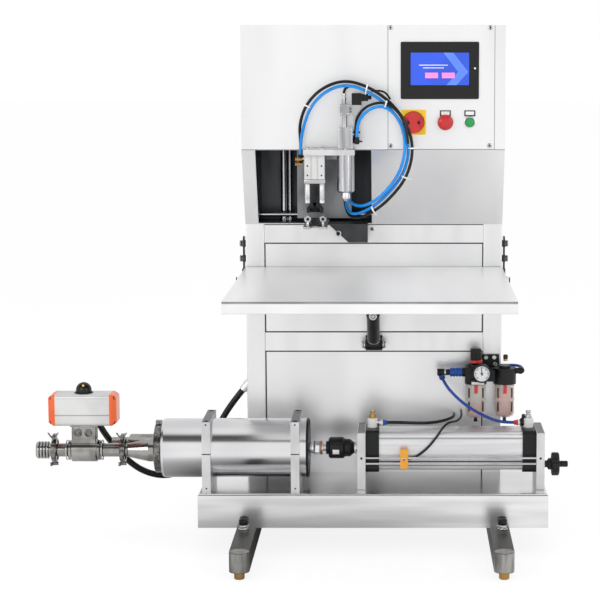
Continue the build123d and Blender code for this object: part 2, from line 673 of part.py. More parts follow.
def table_top():
    """Folded table with lips, hinge arms at its sides and a clevis for the strut beneath."""
    half = COLUMN_WIDTH / 2
    low = TABLE_TOP - TABLE_LIP
    profile = [
        (-TABLE_REACH, TABLE_TOP), (-TABLE_GAP, TABLE_TOP), (-TABLE_GAP, low + 14),
        (-13, low), (-TABLE_REACH, low),
    ]
    table = side_profile(profile, -half, half)
    table = fillet(table.edges().filter_by(Axis.X).sort_by(Axis.Y)[:2], 4)
    s = TABLE_SHEET
    inside = [
        (-TABLE_REACH + s, TABLE_TOP - s), (0, TABLE_TOP - s), (0, low - 1), (-TABLE_REACH + s, low - 1),
    ]
    table -= side_profile(inside, -half + s, half - s)
    y, z = table_hinge()
    for side in (-1, 1):
        x0 = half if side > 0 else -half - 3.5
        arm = box(x0, x0 + 3.5, y - 155, y, z - 9, z + 9) + rod_x(x0, x0 + 3.5, y, z, 18)
        arm += rod_x(side * half - 3.5, side * half + 3.5, y - 147, z, 8)
        head_x = side * (half + 3.5)
        arm += rod_x(min(head_x, head_x + side * 6), max(head_x, head_x + side * 6), y - 147, z, 14)
        table += arm
        table -= rod_x(min(x0, side * (half - 5)), max(x0 + 3.5, side * (half - 5)), y, z, 8 + 2 * RUNNING)
    hy, hz = STRUT_HEAD
    for side in (-1, 1):
        x = side * 14
        ear = box(x - 2.5, x + 2.5, hy - 13, hy + 13, hz, TABLE_TOP - s) + rod_x(x - 2.5, x + 2.5, hy, hz, 26)
        table += ear
    return table + rod_x(-20, 20, hy, hz, STRUT_PIN)


def table_hinge():
    """(y, z) of the table's hinge line."""
    return (-12.0, TABLE_TOP - 16)


def table_brackets():
    """Slotted side brackets with their hinge pins, and the strut's foot on the lower rail."""
    half = COLUMN_WIDTH / 2
    y, z = table_hinge()
    solids = []
    for side in (-1, 1):
        inner = half + 4
        x0 = inner if side > 0 else -inner - 4
        leg = box(x0, x0 + 4, y - 12, 32, z - 12, z + 12) + box(x0, x0 + 4, 6, 32, z, z + 95)
        leg -= box(x0 - 1, x0 + 5, 14.5, 23.5, z + 34.5, z + 77.5)
        for lift in (34.5, 77.5):
            leg -= rod_x(x0 - 1, x0 + 5, 19, z + lift, 9)
        for lift in (36, 76):
            low, high = (half, x0 + 9) if side > 0 else (x0 - 5, -half)
            leg += rod_x(low, high, 19, z + lift, 8)
            low, high = (half, x0) if side > 0 else (x0 + 4, -half)
            leg += rod_x(low, high, 19, z + lift, 18)
            low, high = (x0 + 4, x0 + 9) if side > 0 else (x0 - 5, x0)
            leg += rod_x(low, high, 19, z + lift, 16)
        low, high = (half, x0 + 4) if side > 0 else (x0, -half)
        leg += rod_x(low, high, y, z, 8)
        solids.append(leg)
    fy, fz = STRUT_FOOT
    foot = box(-22, 22, -4, 1, fz - 20, fz + 20)
    for x in (-19, 19):
        foot += box(x - 2.5, x + 2.5, fy, 1, fz - 14, fz + 14) + rod_x(x - 2.5, x + 2.5, fy, fz, 28)
    foot += rod_x(-28, 28, fy, fz, STRUT_PIN) + rod_x(21, 28, fy, fz, 20) + rod_x(-28, -21, fy, fz, 20)
    solids.append(foot)
    return group(*solids)


def along_strut(distance):
    """(y, z) of a point on the strut's line, measured from its foot."""
    dy, dz = STRUT_HEAD[0] - STRUT_FOOT[0], STRUT_HEAD[1] - STRUT_FOOT[1]
    run = hypot(dy, dz)
    return (STRUT_FOOT[0] + dy * distance / run, STRUT_FOOT[1] + dz * distance / run)


def strut_length():
    """Distance between the strut's two pins at rest."""
    return hypot(STRUT_HEAD[0] - STRUT_FOOT[0], STRUT_HEAD[1] - STRUT_FOOT[1])


def strut_tube():
    """Outer tube with the eye that turns on the foot's pin."""
    tube = bar_between(along_strut(14), along_strut(STRUT_TUBE_LENGTH), STRUT_TUBE)
    tube += rod_x(-16, 16, STRUT_FOOT[0], STRUT_FOOT[1], 30)
    tube -= bar_between(along_strut(24), along_strut(STRUT_TUBE_LENGTH + 1), STRUT_ROD + 2 * RUNNING)
    tube -= rod_x(-17, 17, STRUT_FOOT[0], STRUT_FOOT[1], STRUT_PIN + 2 * RUNNING)
    return tube


def strut_rod():
    """Sliding rod whose eye hangs on the table's pin with play."""
    rod = bar_between(along_strut(90), along_strut(strut_length() - 4), STRUT_ROD)
    rod += rod_x(-9, 9, STRUT_HEAD[0], STRUT_HEAD[1], 26)
    return rod - rod_x(-11, 11, STRUT_HEAD[0], STRUT_HEAD[1], STRUT_PIN + 5)


# Piston pump

def product_outer():
    """Outer diameter of the product cylinder."""
    return PRODUCT_BORE + 2 * PRODUCT_WALL


def pump_blocks():
    """Split clamp blocks that stand on the tray and hold the product cylinder."""
    y0, y1 = PUMP_Y - BLOCK_DEPTH / 2, PUMP_Y + BLOCK_DEPTH / 2
    halves = []
    for x in BLOCK_X:
        x0, x1 = x - BLOCK_THICK / 2, x + BLOCK_THICK / 2
        bore = rod_x(x0 - 1, x1 + 1, PUMP_Y, PUMP_Z, product_outer() + 2 * RUNNING)
        spans = ((BASE_TOP, PUMP_Z - BLOCK_SPLIT / 2), (PUMP_Z + BLOCK_SPLIT / 2, BASE_TOP + BLOCK_HEIGHT))
        for z0, z1 in spans:
            halves.append(box(x0, x1, y0, y1, z0, z1) - bore)
    return group(*halves)


def product_cylinder():
    """Polished product tube, open at the rod's end, with a domed head and a ferrule at the other."""
    r = product_outer() / 2
    left = PRODUCT_LEFT
    ferrule = left - FLANGE_THICK
    outline = [
        (ferrule, FLANGE / 2), (left - 3, FLANGE / 2), (left, 50), (left, r - 8), (left + 2.5, r - 2.5),
        (left + 8, r), (PRODUCT_RIGHT, r), (PRODUCT_RIGHT, PRODUCT_BORE / 2),
        (left + HEAD_CAP, PRODUCT_BORE / 2), (left + HEAD_CAP, FLANGE / 2 - 8), (ferrule, FLANGE / 2 - 8),
    ]
    return turned_x(outline, PUMP_Y, PUMP_Z)


def pump_piston():
    """Piston with two seal grooves, its rod and the locknut."""
    r = PRODUCT_BORE / 2 - RUNNING
    right = PRODUCT_RIGHT - 22
    left = right - PISTON_LENGTH
    end = COUPLING_LEFT
    rod = PUMP_ROD / 2
    outline = [
        (left, 0), (left, r - 6), (left + 5, r), (left + 9, r), (left + 9, r - 3), (left + 13, r - 3),
        (left + 13, r), (right - 13, r), (right - 13, r - 3), (right - 9, r - 3), (right - 9, r),
        (right, r), (right, rod), (end - 16, rod), (end - 16, rod + 5), (end - 8, rod + 5),
        (end - 8, rod - 4), (end, rod - 4), (end, 0),
    ]
    return turned_x(outline, PUMP_Y, PUMP_Z)


def rod_coupling():
    """Floating coupling between the piston rod and the air cylinder's rod."""
    a = COUPLING_LEFT
    r = COUPLING_DIAMETER / 2
    outline = [
        (a, 0), (a, 17), (a + 7, 17), (a + 7, r - 4), (a + 11, r), (a + 45, r), (a + 49, r - 4),
        (a + 49, 23), (a + 63, 23), (a + 66, 20), (a + 72, 15), (a + 74, 15), (a + 74, 0),
    ]
    return turned_x(outline, PUMP_Y, PUMP_Z)


def barrel_span():
    """X of the barrel's two ends."""
    return (AIR_LEFT + AIR_PLATE + AIR_CAP_LENGTH, AIR_RIGHT - AIR_PLATE - AIR_CAP_LENGTH)


def air_piston():
    """Air piston on its rod, with the rod's collar beside the coupling."""
    start = COUPLING_LEFT + 74
    right = barrel_span()[1] - 7
    left = right - AIR_PISTON_LENGTH
    r = AIR_BORE / 2 - RUNNING
    rod = AIR_ROD / 2
    outline = [
        (start, 0), (start, rod + 4), (start + 5, rod + 4), (start + 5, rod),
        (left, rod), (left, r), (right, r), (right, 0),
    ]
    return turned_x(outline, PUMP_Y, PUMP_Z)


def cylinder_plates():
    """End plates that carry the air cylinder on the tray."""
    y0, y1 = PUMP_Y - AIR_PLATE_DEPTH / 2, PUMP_Y + AIR_PLATE_DEPTH / 2
    plates = []
    for x0 in (AIR_LEFT, AIR_RIGHT - AIR_PLATE):
        x1 = x0 + AIR_PLATE
        plate = box(x0, x1, y0, y1, BASE_TOP, BASE_TOP + AIR_PLATE_HEIGHT)
        plate = chamfer(plate.edges().filter_by(Axis.X), 1.5)
        plate -= rod_y(y0 - 1, y0 + 3, (x0 + x1) / 2, TRIM_ROD_Z[0], 5)
        plates.append(plate)
    left, right = plates
    left -= rod_x(AIR_LEFT - 1, AIR_LEFT + AIR_PLATE + 1, PUMP_Y, PUMP_Z, AIR_ROD + 2 * RUNNING)
    left -= rod_x(AIR_LEFT + 8, AIR_LEFT + AIR_PLATE + 1, TRIM_Y, TRIM_ROD_Z[1], TRIM_ROD + 2 * RUNNING)
    right -= rod_x(AIR_RIGHT - AIR_PLATE - 1, AIR_RIGHT + 1, TRIM_Y, TRIM_ROD_Z[1], TRIM_ROD + 2 * RUNNING)
    return group(left, right)


def end_caps():
    """Square end caps of the air cylinder."""
    half = AIR_CAP / 2
    caps = []
    b0, b1 = barrel_span()
    for x0, x1 in ((AIR_LEFT + AIR_PLATE, b0), (b1, AIR_RIGHT - AIR_PLATE)):
        cap = box(x0, x1, PUMP_Y - half, PUMP_Y + half, PUMP_Z - half, PUMP_Z + half)
        caps.append(fillet(cap.edges().filter_by(Axis.X), 12))
    caps[0] -= rod_x(AIR_LEFT, b0 + 1, PUMP_Y, PUMP_Z, AIR_ROD + 2 * RUNNING)
    return group(*caps)


def air_barrel():
    """Extruded barrel with rounded corners and two slots along each side."""
    b0, b1 = barrel_span()
    half = AIR_BARREL / 2
    barrel = box(b0, b1, PUMP_Y - half, PUMP_Y + half, PUMP_Z - half, PUMP_Z + half)
    barrel = fillet(barrel.edges().filter_by(Axis.X), 12)
    barrel -= rod_x(b0 - 1, b1 + 1, PUMP_Y, PUMP_Z, AIR_BORE)
    for side in (-1, 1):
        for z in (PUMP_Z - 26, PUMP_Z + 34):
            edge = PUMP_Y + side * half
            barrel -= box(b0 - 1, b1 + 1, edge - 2, edge + 2, z - 1.5, z + 1.5)
    return barrel


def reader_guide():
    """Plain rod along which the reader slides."""
    return rod_x(AIR_LEFT + AIR_PLATE, AIR_RIGHT - AIR_PLATE, TRIM_Y, TRIM_ROD_Z[0], TRIM_ROD)


def reader_block():
    """Yellow reader block with a bore for the guide rod and one for the lead screw."""
    middle = (TRIM_ROD_Z[0] + TRIM_ROD_Z[1]) / 2 + 6
    half = READER_HEIGHT / 2
    y0, y1 = TRIM_Y - READER_DEPTH / 2 - 1.5, TRIM_Y + READER_DEPTH / 2 - 1.5
    x0, x1 = READER_X - READER_WIDTH / 2, READER_X + READER_WIDTH / 2
    block = box(x0, x1, y0, y1, middle - half, middle + half)
    block = fillet(block.edges().filter_by(Axis.Y), 1.5)
    for z in TRIM_ROD_Z:
        block -= rod_x(x0 - 1, x1 + 1, TRIM_Y, z, TRIM_ROD + 2 * RUNNING)
    return block


def handwheel():
    """Lead screw with its lobed wheel and crank stub."""
    x = AIR_RIGHT
    z = TRIM_ROD_Z[1]
    screw = rod_x(AIR_LEFT + 9, x + 6, TRIM_Y, z, TRIM_ROD)
    outline = [
        (x + LOOSE, 3), (x + LOOSE, 9), (x + 6, 9), (x + 10, 15), (x + 16, 15), (x + 18, HANDWHEEL / 2 - 2),
        (x + 20, HANDWHEEL / 2), (x + 34, HANDWHEEL / 2), (x + 37, HANDWHEEL / 2 - 3), (x + 37, 8),
        (x + 58, 8), (x + 60, 6), (x + 60, 0), (x + 5, 0), (x + 5, 3),
    ]
    wheel = turned_x(outline, TRIM_Y, z)
    for step in range(8):
        turn = radians(22.5 + 45 * step)
        y, up = TRIM_Y + 33 * cos(turn), z + 33 * sin(turn)
        wheel -= rod_x(x + 15, x + 38, y, up, 12)
    return screw + wheel


def flow_controls():
    """Flow control valves that stand on the end caps."""
    solids = []
    top = PUMP_Z + AIR_CAP / 2
    b0, b1 = barrel_span()
    for x, side in (((AIR_LEFT + AIR_PLATE + b0) / 2, 1), ((b1 + AIR_RIGHT - AIR_PLATE) / 2, -1)):
        body = rod_z(top, top + 24, x, PUMP_Y, 26)
        body = chamfer(body.edges().group_by(Axis.Z)[-1], 1.5)
        body += rod_z(top + 24, top + 34, x, PUMP_Y, 15) + rod_z(top + 34, top + 38, x, PUMP_Y, 9)
        body += rod_z(top + 38, top + 44, x, PUMP_Y, 13)
        low, high = (x, x + 27) if side > 0 else (x - 27, x)
        body += rod_x(low, high, PUMP_Y, top + 12, 14)
        low, high = (x + 27, x + 33) if side > 0 else (x - 33, x - 27)
        body += rod_x(low, high, PUMP_Y, top + 12, 11)
        solids.append(body)
    return group(*solids)


# Valve line

def flange_face():
    """X of the ferrule's joint with the manifold."""
    return PRODUCT_LEFT - FLANGE_THICK


def cone_end():
    """X where the reducer meets the first clamp."""
    return flange_face() - FLANGE_THICK - CONE_LENGTH


def manifold():
    """Flange with a reducing cone in front and a straight branch behind."""
    right = flange_face()
    root = right - FLANGE_THICK
    end = cone_end()
    body = rod_x(root, right, PUMP_Y, PUMP_Z, FLANGE)
    big, small, wall = CONE_END / 2, PIPE / 2, PIPE_WALL
    cone = [
        (root + 1, 0), (root + 1, big), (root - 14, big), (end + 12, small), (end + 3, small),
        (end, FERRULE / 2), (end, 0),
    ]
    body += turned_x(cone, LINE_Y, PUMP_Z)
    branch = [(root + 1, 0), (root + 1, 30), (end + 12, 30), (end + 6, 22), (end - 36, 22), (end - 36, 0)]
    body += turned_x(branch, BRANCH_Y, PUMP_Z)
    hollow = [
        (right + 1, 0), (right + 1, big - wall), (root - 14, big - wall), (end + 12, small - wall),
        (end - 1, small - wall), (end - 1, 0),
    ]
    body -= turned_x(hollow, LINE_Y, PUMP_Z)
    hollow = [
        (right + 1, 0), (right + 1, 28), (end + 12, 28), (end + 6, 20), (end - 37, 20), (end - 37, 0),
    ]
    return body - turned_x(hollow, BRANCH_Y, PUMP_Z)


def valve_span():
    """X of the ball valve's two ends, nuts included."""
    reach = VALVE_LENGTH / 2 + VALVE_NUT_LENGTH
    return (VALVE_X - reach, VALVE_X + reach)


def ferrule_pipe(x0, x1, at_left, at_right):
    """Pipe along the line with a clamp ferrule at the named ends."""
    r, wall = PIPE / 2, PIPE_WALL
    pipe = rod_x(x0, x1, LINE_Y, PUMP_Z, PIPE)
    for wanted, x, side in ((at_left, x0, 1), (at_right, x1, -1)):
        if wanted:
            lip = [(x, 0), (x, FERRULE / 2), (x + 3 * side, FERRULE / 2), (x + 6 * side, r), (x + 6 * side, 0)]
            pipe += turned_x(lip, LINE_Y, PUMP_Z)
    return pipe - rod_x(x0 - 1, x1 + 1, LINE_Y, PUMP_Z, 2 * (r - wall))


def line_pipes():
    """Nipples beside the ball valve and the hose tail at the inlet."""
    v0, v1 = valve_span()
    right = ferrule_pipe(v1, cone_end(), False, True)
    joint = v0 - 36
    left = ferrule_pipe(joint, v0, True, False)
    tail_end = joint - 47
    r = PIPE / 2
    tail = [(joint, 14), (joint, FERRULE / 2), (joint - 3, FERRULE / 2), (joint - 6, r), (joint - 14, r)]
    for step in range(4):
        x = joint - 15 - 8 * step
        tail += [(x, 22.5), (x - 4, 22.5), (x - 8, 20)]
    tail.append((tail_end, 14))
    return group(right, left, turned_x(tail, LINE_Y, PUMP_Z))


def band_outline(x, inner, outer, half):
    """(x, radius) outline of a clamp band with softened rims."""
    return [
        (x - half, inner), (x - half, outer - 2), (x - half + 2, outer),
        (x + half - 2, outer), (x + half, outer - 2), (x + half, inner),
    ]


def clamp_ring(x, y):
    """Hinged clamp round a pair of ferrules, with its bolt and wing nut."""
    inner, outer = FERRULE / 2 + LOOSE, FERRULE / 2 + 7
    half = CLAMP_WIDTH / 2
    ring = turned_x(band_outline(x, inner, outer, half), y, PUMP_Z)
    ring += box(x - half + 2, x + half - 2, y - 5, y + 5, PUMP_Z - outer - 7, PUMP_Z - outer + 3)
    top = PUMP_Z + outer
    ring += box(x - half + 2, x + half - 2, y - 9, y + 9, top - 3, top + 10)
    return ring + rod_y(y - 22, y + 16, x, top + 5, 6)


def pipe_clamps():
    """Clamps at the inlet, at the cone, at the branch and at the pump's flange."""
    v0 = valve_span()[0]
    rings = [clamp_ring(v0 - 36, LINE_Y), clamp_ring(cone_end(), LINE_Y)]
    x = flange_face()
    inner, outer = FLANGE / 2 + LOOSE, FLANGE / 2 + 5
    band = turned_x(band_outline(x, inner, outer, FLANGE_THICK), PUMP_Y, PUMP_Z)
    band += box(x - 8, x + 8, PUMP_Y - 8, PUMP_Y + 8, PUMP_Z + outer - 2, PUMP_Z + outer + 8)
    rings.append(band)
    return group(*rings)


def ball_valve():
    """Valve body with its nuts, the mounting pad above and the bracket under the actuator."""
    v0, v1 = valve_span()
    r, nut = VALVE_DIAMETER / 2, VALVE_NUT / 2
    m0, m1 = v0 + VALVE_NUT_LENGTH, v1 - VALVE_NUT_LENGTH
    outline = [
        (v0, 0), (v0, nut - 2), (v0 + 2, nut), (m0, nut), (m0, r - 3), (m0 + 3, r), (m1 - 3, r),
        (m1, r - 3), (m1, nut), (v1 - 2, nut), (v1, nut - 2), (v1, 0),
    ]
    body = turned_x(outline, LINE_Y, PUMP_Z)
    seat = ACTUATOR_BOTTOM - 4
    body += box(VALVE_X - 30, VALVE_X + 30, LINE_Y - 20, LINE_Y + 20, PUMP_Z + 14, PUMP_Z + r + 3)
    for x in (-26, 26):
        for y in (-14, 14):
            body += rod_z(PUMP_Z + r, seat, VALVE_X + x, LINE_Y + y, 11)
    body += box(VALVE_X - 34, VALVE_X + 34, LINE_Y - 24, LINE_Y + 24, seat, ACTUATOR_BOTTOM)
    body -= rod_x(v0 - 1, v1 + 1, LINE_Y, PUMP_Z, VALVE_BORE)
    body -= Pos(VALVE_X, LINE_Y, PUMP_Z) * Sphere(BALL / 2 + RUNNING)
    return body - rod_z(PUMP_Z, ACTUATOR_BOTTOM + 1, VALVE_X, LINE_Y, STEM + 2 * RUNNING)


def valve_ball():
    """Bored ball on its stem, which ends in the domed position indicator."""
    top = ACTUATOR_BOTTOM + ACTUATOR_HEIGHT
    ball = Pos(VALVE_X, LINE_Y, PUMP_Z) * Sphere(BALL / 2)
    ball -= rod_x(VALVE_X - BALL, VALVE_X + BALL, LINE_Y, PUMP_Z, VALVE_BORE)
    stem = rod_z(PUMP_Z + BALL / 2 - 3, top + 5, VALVE_X, LINE_Y, STEM)
    r = DOME / 2
    with BuildPart() as dome:
        with BuildSketch(Plane.XZ):
            with BuildLine():
                Line((0, 0), (r, 0))
                Line((r, 0), (r, 7))
                CenterArc((0, 7), r, 0, 90)
                Line((0, 7 + r), (0, 0))
            make_face()
        revolve(axis=Axis.Z)
    return ball + stem + Pos(VALVE_X, LINE_Y, top + LOOSE) * dome.part


def actuator_body():
    """Extruded housing with its bore and side grooves, and the control valve behind it."""
    half = ACTUATOR_LENGTH / 2
    z0, z1 = ACTUATOR_BOTTOM, ACTUATOR_BOTTOM + ACTUATOR_HEIGHT
    y0, y1 = LINE_Y - ACTUATOR_DEPTH / 2, LINE_Y + ACTUATOR_DEPTH / 2
    body = box(VALVE_X - half, VALVE_X + half, y0, y1, z0, z1)
    body = fillet(body.edges().filter_by(Axis.X), 9)
    for edge in (y0, y1):
        body -= box(VALVE_X - half - 1, VALVE_X + half + 1, edge - 1.5, edge + 1.5, z0 + 27, z0 + 30)
    body -= rod_z(z0 - 1, z1 + 1, VALVE_X, LINE_Y, STEM + 2 * RUNNING)
    x, y, z = LOOM_ROUTE[0]
    pilot = box(x - 22, x + 22, y1, y - LOOM / 2 - 3, z - 33, z + 5)
    pilot += box(x - 14, x + 14, y - LOOM / 2 - 3, y + 14, z, z + 5)
    return group(body, pilot)


def actuator_caps():
    """Two end covers that taper outwards."""
    middle = ACTUATOR_BOTTOM + ACTUATOR_HEIGHT / 2
    step = ACTUATOR_CAP / 3
    caps = []
    for side in (-1, 1):
        x = VALVE_X + side * ACTUATOR_LENGTH / 2
        foot = Plane((x, LINE_Y, middle), x_dir=(0, 1, 0), z_dir=(side, 0, 0))
        rim = Plane((x + side * step, LINE_Y, middle), x_dir=(0, 1, 0), z_dir=(side, 0, 0))
        outline = RectangleRounded(ACTUATOR_DEPTH, ACTUATOR_HEIGHT, 9)
        cap = extrude(foot * outline, step) + extrude(rim * outline, ACTUATOR_CAP - step, taper=35)
        caps.append(cap)
    return group(*caps)


# Air service unit

def service_unit():
    """Regulator and oiler bodies on the bracket that is bolted to the post."""
    half = SERVICE_BODY / 2
    body = rod_z(BODY_BOTTOM, BODY_BOTTOM + 14, REGULATOR_X, SERVICE_Y, SERVICE_BODY + 2)
    body += box(
        REGULATOR_X - half, REGULATOR_X + half, SERVICE_Y - 22, SERVICE_Y + 22, BODY_BOTTOM + 10, BODY_TOP - 6,
    )
    body += rod_z(BODY_TOP - 9, BODY_TOP, REGULATOR_X, SERVICE_Y, 44)
    body += rod_y(SERVICE_Y - half - 4, SERVICE_Y, GAUGE_X, GAUGE_Z, 20)
    body += rod_z(BODY_BOTTOM, BODY_TOP - 10, OILER_X, SERVICE_Y, SERVICE_BODY + 4)
    body += rod_z(BODY_TOP - 10, BODY_TOP - 4, OILER_X, SERVICE_Y, 30)
    body += box(REGULATOR_X, OILER_X, SERVICE_Y - 15, SERVICE_Y + 15, PORT_Z - 23, PORT_Z + 7)
    post = COLUMN_WIDTH / 2 - POST
    bracket = box(post, post + 44, -8, 0, PORT_Z - 28, BODY_TOP + 18)
    bracket += box(post + 10, post + 34, SERVICE_Y + 10, -6, PORT_Z - 20, PORT_Z + 6)
    inlet = rod_x(REGULATOR_X - half - 8, REGULATOR_X - half + 2, SERVICE_Y, PORT_Z, 24)
    outlet = rod_x(OILER_X + 29, OILER_X + 44, SERVICE_Y, PORT_Z + 4, 16)
    body = body + bracket + inlet + outlet
    return body - rod_z(BODY_TOP - 16, BODY_TOP + 1, REGULATOR_X, SERVICE_Y, 14 + 2 * RUNNING)


def regulator_knob():
    """Ribbed adjusting knob that lifts to unlock, on its spindle."""
    z0 = BODY_TOP + KNOB_TRAVEL
    knob = rod_z(z0, z0 + 38, REGULATOR_X, SERVICE_Y, KNOB)
    knob = chamfer(knob.edges().group_by(Axis.Z)[-1], 1.5)
    for step in range(12):
        turn = radians(30 * step)
        x, y = REGULATOR_X + KNOB / 2 * cos(turn), SERVICE_Y + KNOB / 2 * sin(turn)
        knob -= rod_z(z0 + 4, z0 + 34, x, y, 2.4)
    return knob + rod_z(BODY_TOP - 12, z0, REGULATOR_X, SERVICE_Y, 14)


def pressure_gauge():
    """Round gauge case on the regulator's front."""
    face = SERVICE_Y - SERVICE_BODY / 2 - 4
    case = rod_y(face - 20, face, GAUGE_X, GAUGE_Z, GAUGE)
    case = chamfer(case.faces().sort_by(Axis.Y)[0].edges(), 1)
    return case - rod_y(face - 21, face - 18, GAUGE_X, GAUGE_Z, GAUGE - 6)


def air_bowls():
    """Bowl guards with two rows of slots and a drain below, and the oiler's sight dome with its cap."""
    sight = [(0, BODY_TOP - 4), (9, BODY_TOP - 4), (9, BODY_TOP + 4), (7, BODY_TOP + 9)]
    sight += [(5, BODY_TOP + 9), (5, BODY_TOP + 14), (6, BODY_TOP + 14), (6, BODY_TOP + 25), (0, BODY_TOP + 25)]
    bowls = [turned_z(sight, OILER_X + 2, SERVICE_Y)]
    for x in (REGULATOR_X, OILER_X):
        r = BOWL / 2
        low = BODY_BOTTOM - BOWL_HEIGHT
        outline = [
            (r - 2.5, BODY_BOTTOM), (r, BODY_BOTTOM), (r, low + 10), (r - 5, low + 2), (r - 12, low),
            (0, low), (0, low + 3), (r - 12, low + 3), (r - 6, low + 6), (r - 2.5, low + 12),
        ]
        bowl = turned_z(outline, x, SERVICE_Y)
        for turn in (50, 130, 230, 310):
            for z in (low + 20, low + 52):
                slot = Pos(x, SERVICE_Y, z + 12) * Rot(0, 0, turn) * Pos(r - 1, 0, 0) * Box(8, 4, 24)
                bowl -= slot
        bowl += rod_z(low - 13, low + 1, x, SERVICE_Y, 9)
        bowls.append(bowl)
    return group(*bowls)


def shutoff_sleeve():
    """Sliding shut-off sleeve on the inlet, with its grip rings."""
    right = REGULATOR_X - SERVICE_BODY / 2 - 8 - LOOSE
    left = right - 32
    r = 12
    outline = [(left, 8 + RUNNING)]
    for step in range(4):
        x = left + 8 * step
        outline += [(x, r), (x + 5, r), (x + 5.5, r - 1.5), (x + 7.5, r - 1.5)]
    outline += [(right, r), (right, 8 + RUNNING)]
    return turned_x(outline, SERVICE_Y, PORT_Z)


def inlet_elbow():
    """Nipple that carries the sleeve, with the elbow for the blue tube."""
    start = REGULATOR_X - SERVICE_BODY / 2 - 8
    elbow = rod_x(start - 54, start, SERVICE_Y, PORT_Z, 16) + rod_x(start - 66, start - 48, SERVICE_Y, PORT_Z, 18)
    (x0, y0, z0), (x1, y1, z1) = SERVICE_TUBE_ROUTE[:2]
    seat = Plane((x0, y0, z0), z_dir=(x0 - x1, y0 - y1, z0 - z1))
    return elbow + extrude(seat * Circle(7), 21)


# Hoses

def hose(name, points, diameter):
    """Tube along straight runs joined by tangent arcs, as large as the runs allow."""
    radii = []
    vectors = [Vector(*point) for point in points]
    for before, corner, after in zip(vectors, vectors[1:], vectors[2:]):
        turn = (corner - before).get_angle(after - corner)
        run = min((corner - before).length, (after - corner).length)
        radii.append(0.45 * run / tan(radians(turn) / 2))
    path = FilletPolyline(*points, radius=radii)
    start = vectors[0]
    section = Plane(start, z_dir=vectors[1] - start) * Circle(diameter / 2)
    tube = sweep(section, path=path)
    ratio = tube.volume / (pi * diameter ** 2 / 4 * path.length)
    print(f"{name}: length {path.length:.0f}, volume ratio {ratio:.3f}, radii {[round(r) for r in radii]}")
    return tube


LOOP_BLUE_ROUTE = [
    (-184.5, -160.5, 1020), (-184.5, -160.5, 1050), (-176, -176, 1094), (-157, -183, 1146), (-119, -184, 1184),
    (-70, -184, 1201), (-18, -184, 1187), (36, -184, 1151), (80, -184, 1094), (94, -184, 1034),
    (78, -184, 972), (36, -183, 920), (-4, -172, 886), (-42, -144, 867), (-66, -104, 870),
    (-73, -76, 905), (-72, -70, 950), (-72, -70, 994),
]
LOOP_BLACK_ROUTE = [
    (-184.5, -148.5, 1020), (-184.5, -148.5, 1052), (-187, -168, 1100), (-167, -183, 1154), (-125, -187, 1194),
    (-70, -187, 1212), (-12, -187, 1196), (46, -187, 1157), (90, -187, 1098), (104, -187, 1034),
    (87, -187, 965), (42, -187, 910), (0, -178, 876), (-42, -148, 855), (-74, -106, 857),
    (-85, -76, 890), (-84, -70, 942), (-84, -70, 994),
]
BRANCH_ROUTE = [
    (ELBOW_X, ELBOW_Y, ELBOW_TOP), (-40.5, -168, 1090), (-31, -178, 1118), (-4, -191, 1142), (30, -196, 1147),
    (60, -197, 1124), (80, -197, 1082), (83, -197, 1030), (68, -196, 976), (32, -192, 928),
    (-4, -180, 899), (-34, -154, 888), (-60, -118, 896), (-73, -98, 925), (-72, -92, 960), (-72, -92, 994),
]
SENSOR_CABLE_ROUTE = [
    (86, -190, 238), (106, -190, 240), (126, -190.3, 252), (146, -190.5, 271), (163, -190.5, 293),
    (178, -186, 316), (192, -170, 327), (205, -147, 326), (216, -120, 322), (226, -92, 322),
    (232, -60, 325), (233, -28, 328), (233, 2, 328),
]
SERVICE_TUBE_ROUTE = [
    (REGULATOR_X - 88.6, -65.7, 426.9), (REGULATOR_X - 80.2, -81.3, 410.8), (REGULATOR_X - 61, -94, 390),
    (REGULATOR_X - 39, -102, 370.5), (256, -108, 353), (285, -115, 338), (315, -126, 326),
    (344, -135, 322), (371.5, -135, 322),
]
PORT_HOSE_ROUTE = [
    (30.5, -135, 322), (56, -135, 322), (90, -129, 320), (126, -119, 317), (158, -104, 315.5),
    (184, -82, 316), (204, -56, 317.5), (214, -28, 319), (214, 2, 319),
]
LEFT_SIDE = -COLUMN_WIDTH / 2
LOOM_ROUTE = [
    (-738, -84, 378), (-738, -84, 334), (-717.5, -80, 290.5), (-693.8, -73, 254), (-654.7, -60, 203),
    (-610.7, -42, 167.4), (LEFT_SIDE - 216.4, -18, 150.9), (LEFT_SIDE - 160.8, 4, 167.7),
    (LEFT_SIDE - 114.4, 18, 219.6), (LEFT_SIDE - 76.4, 26, 289.2), (LEFT_SIDE - 44.9, 27, 341.1),
    (LEFT_SIDE - 13.5, 27, 379.5),
]


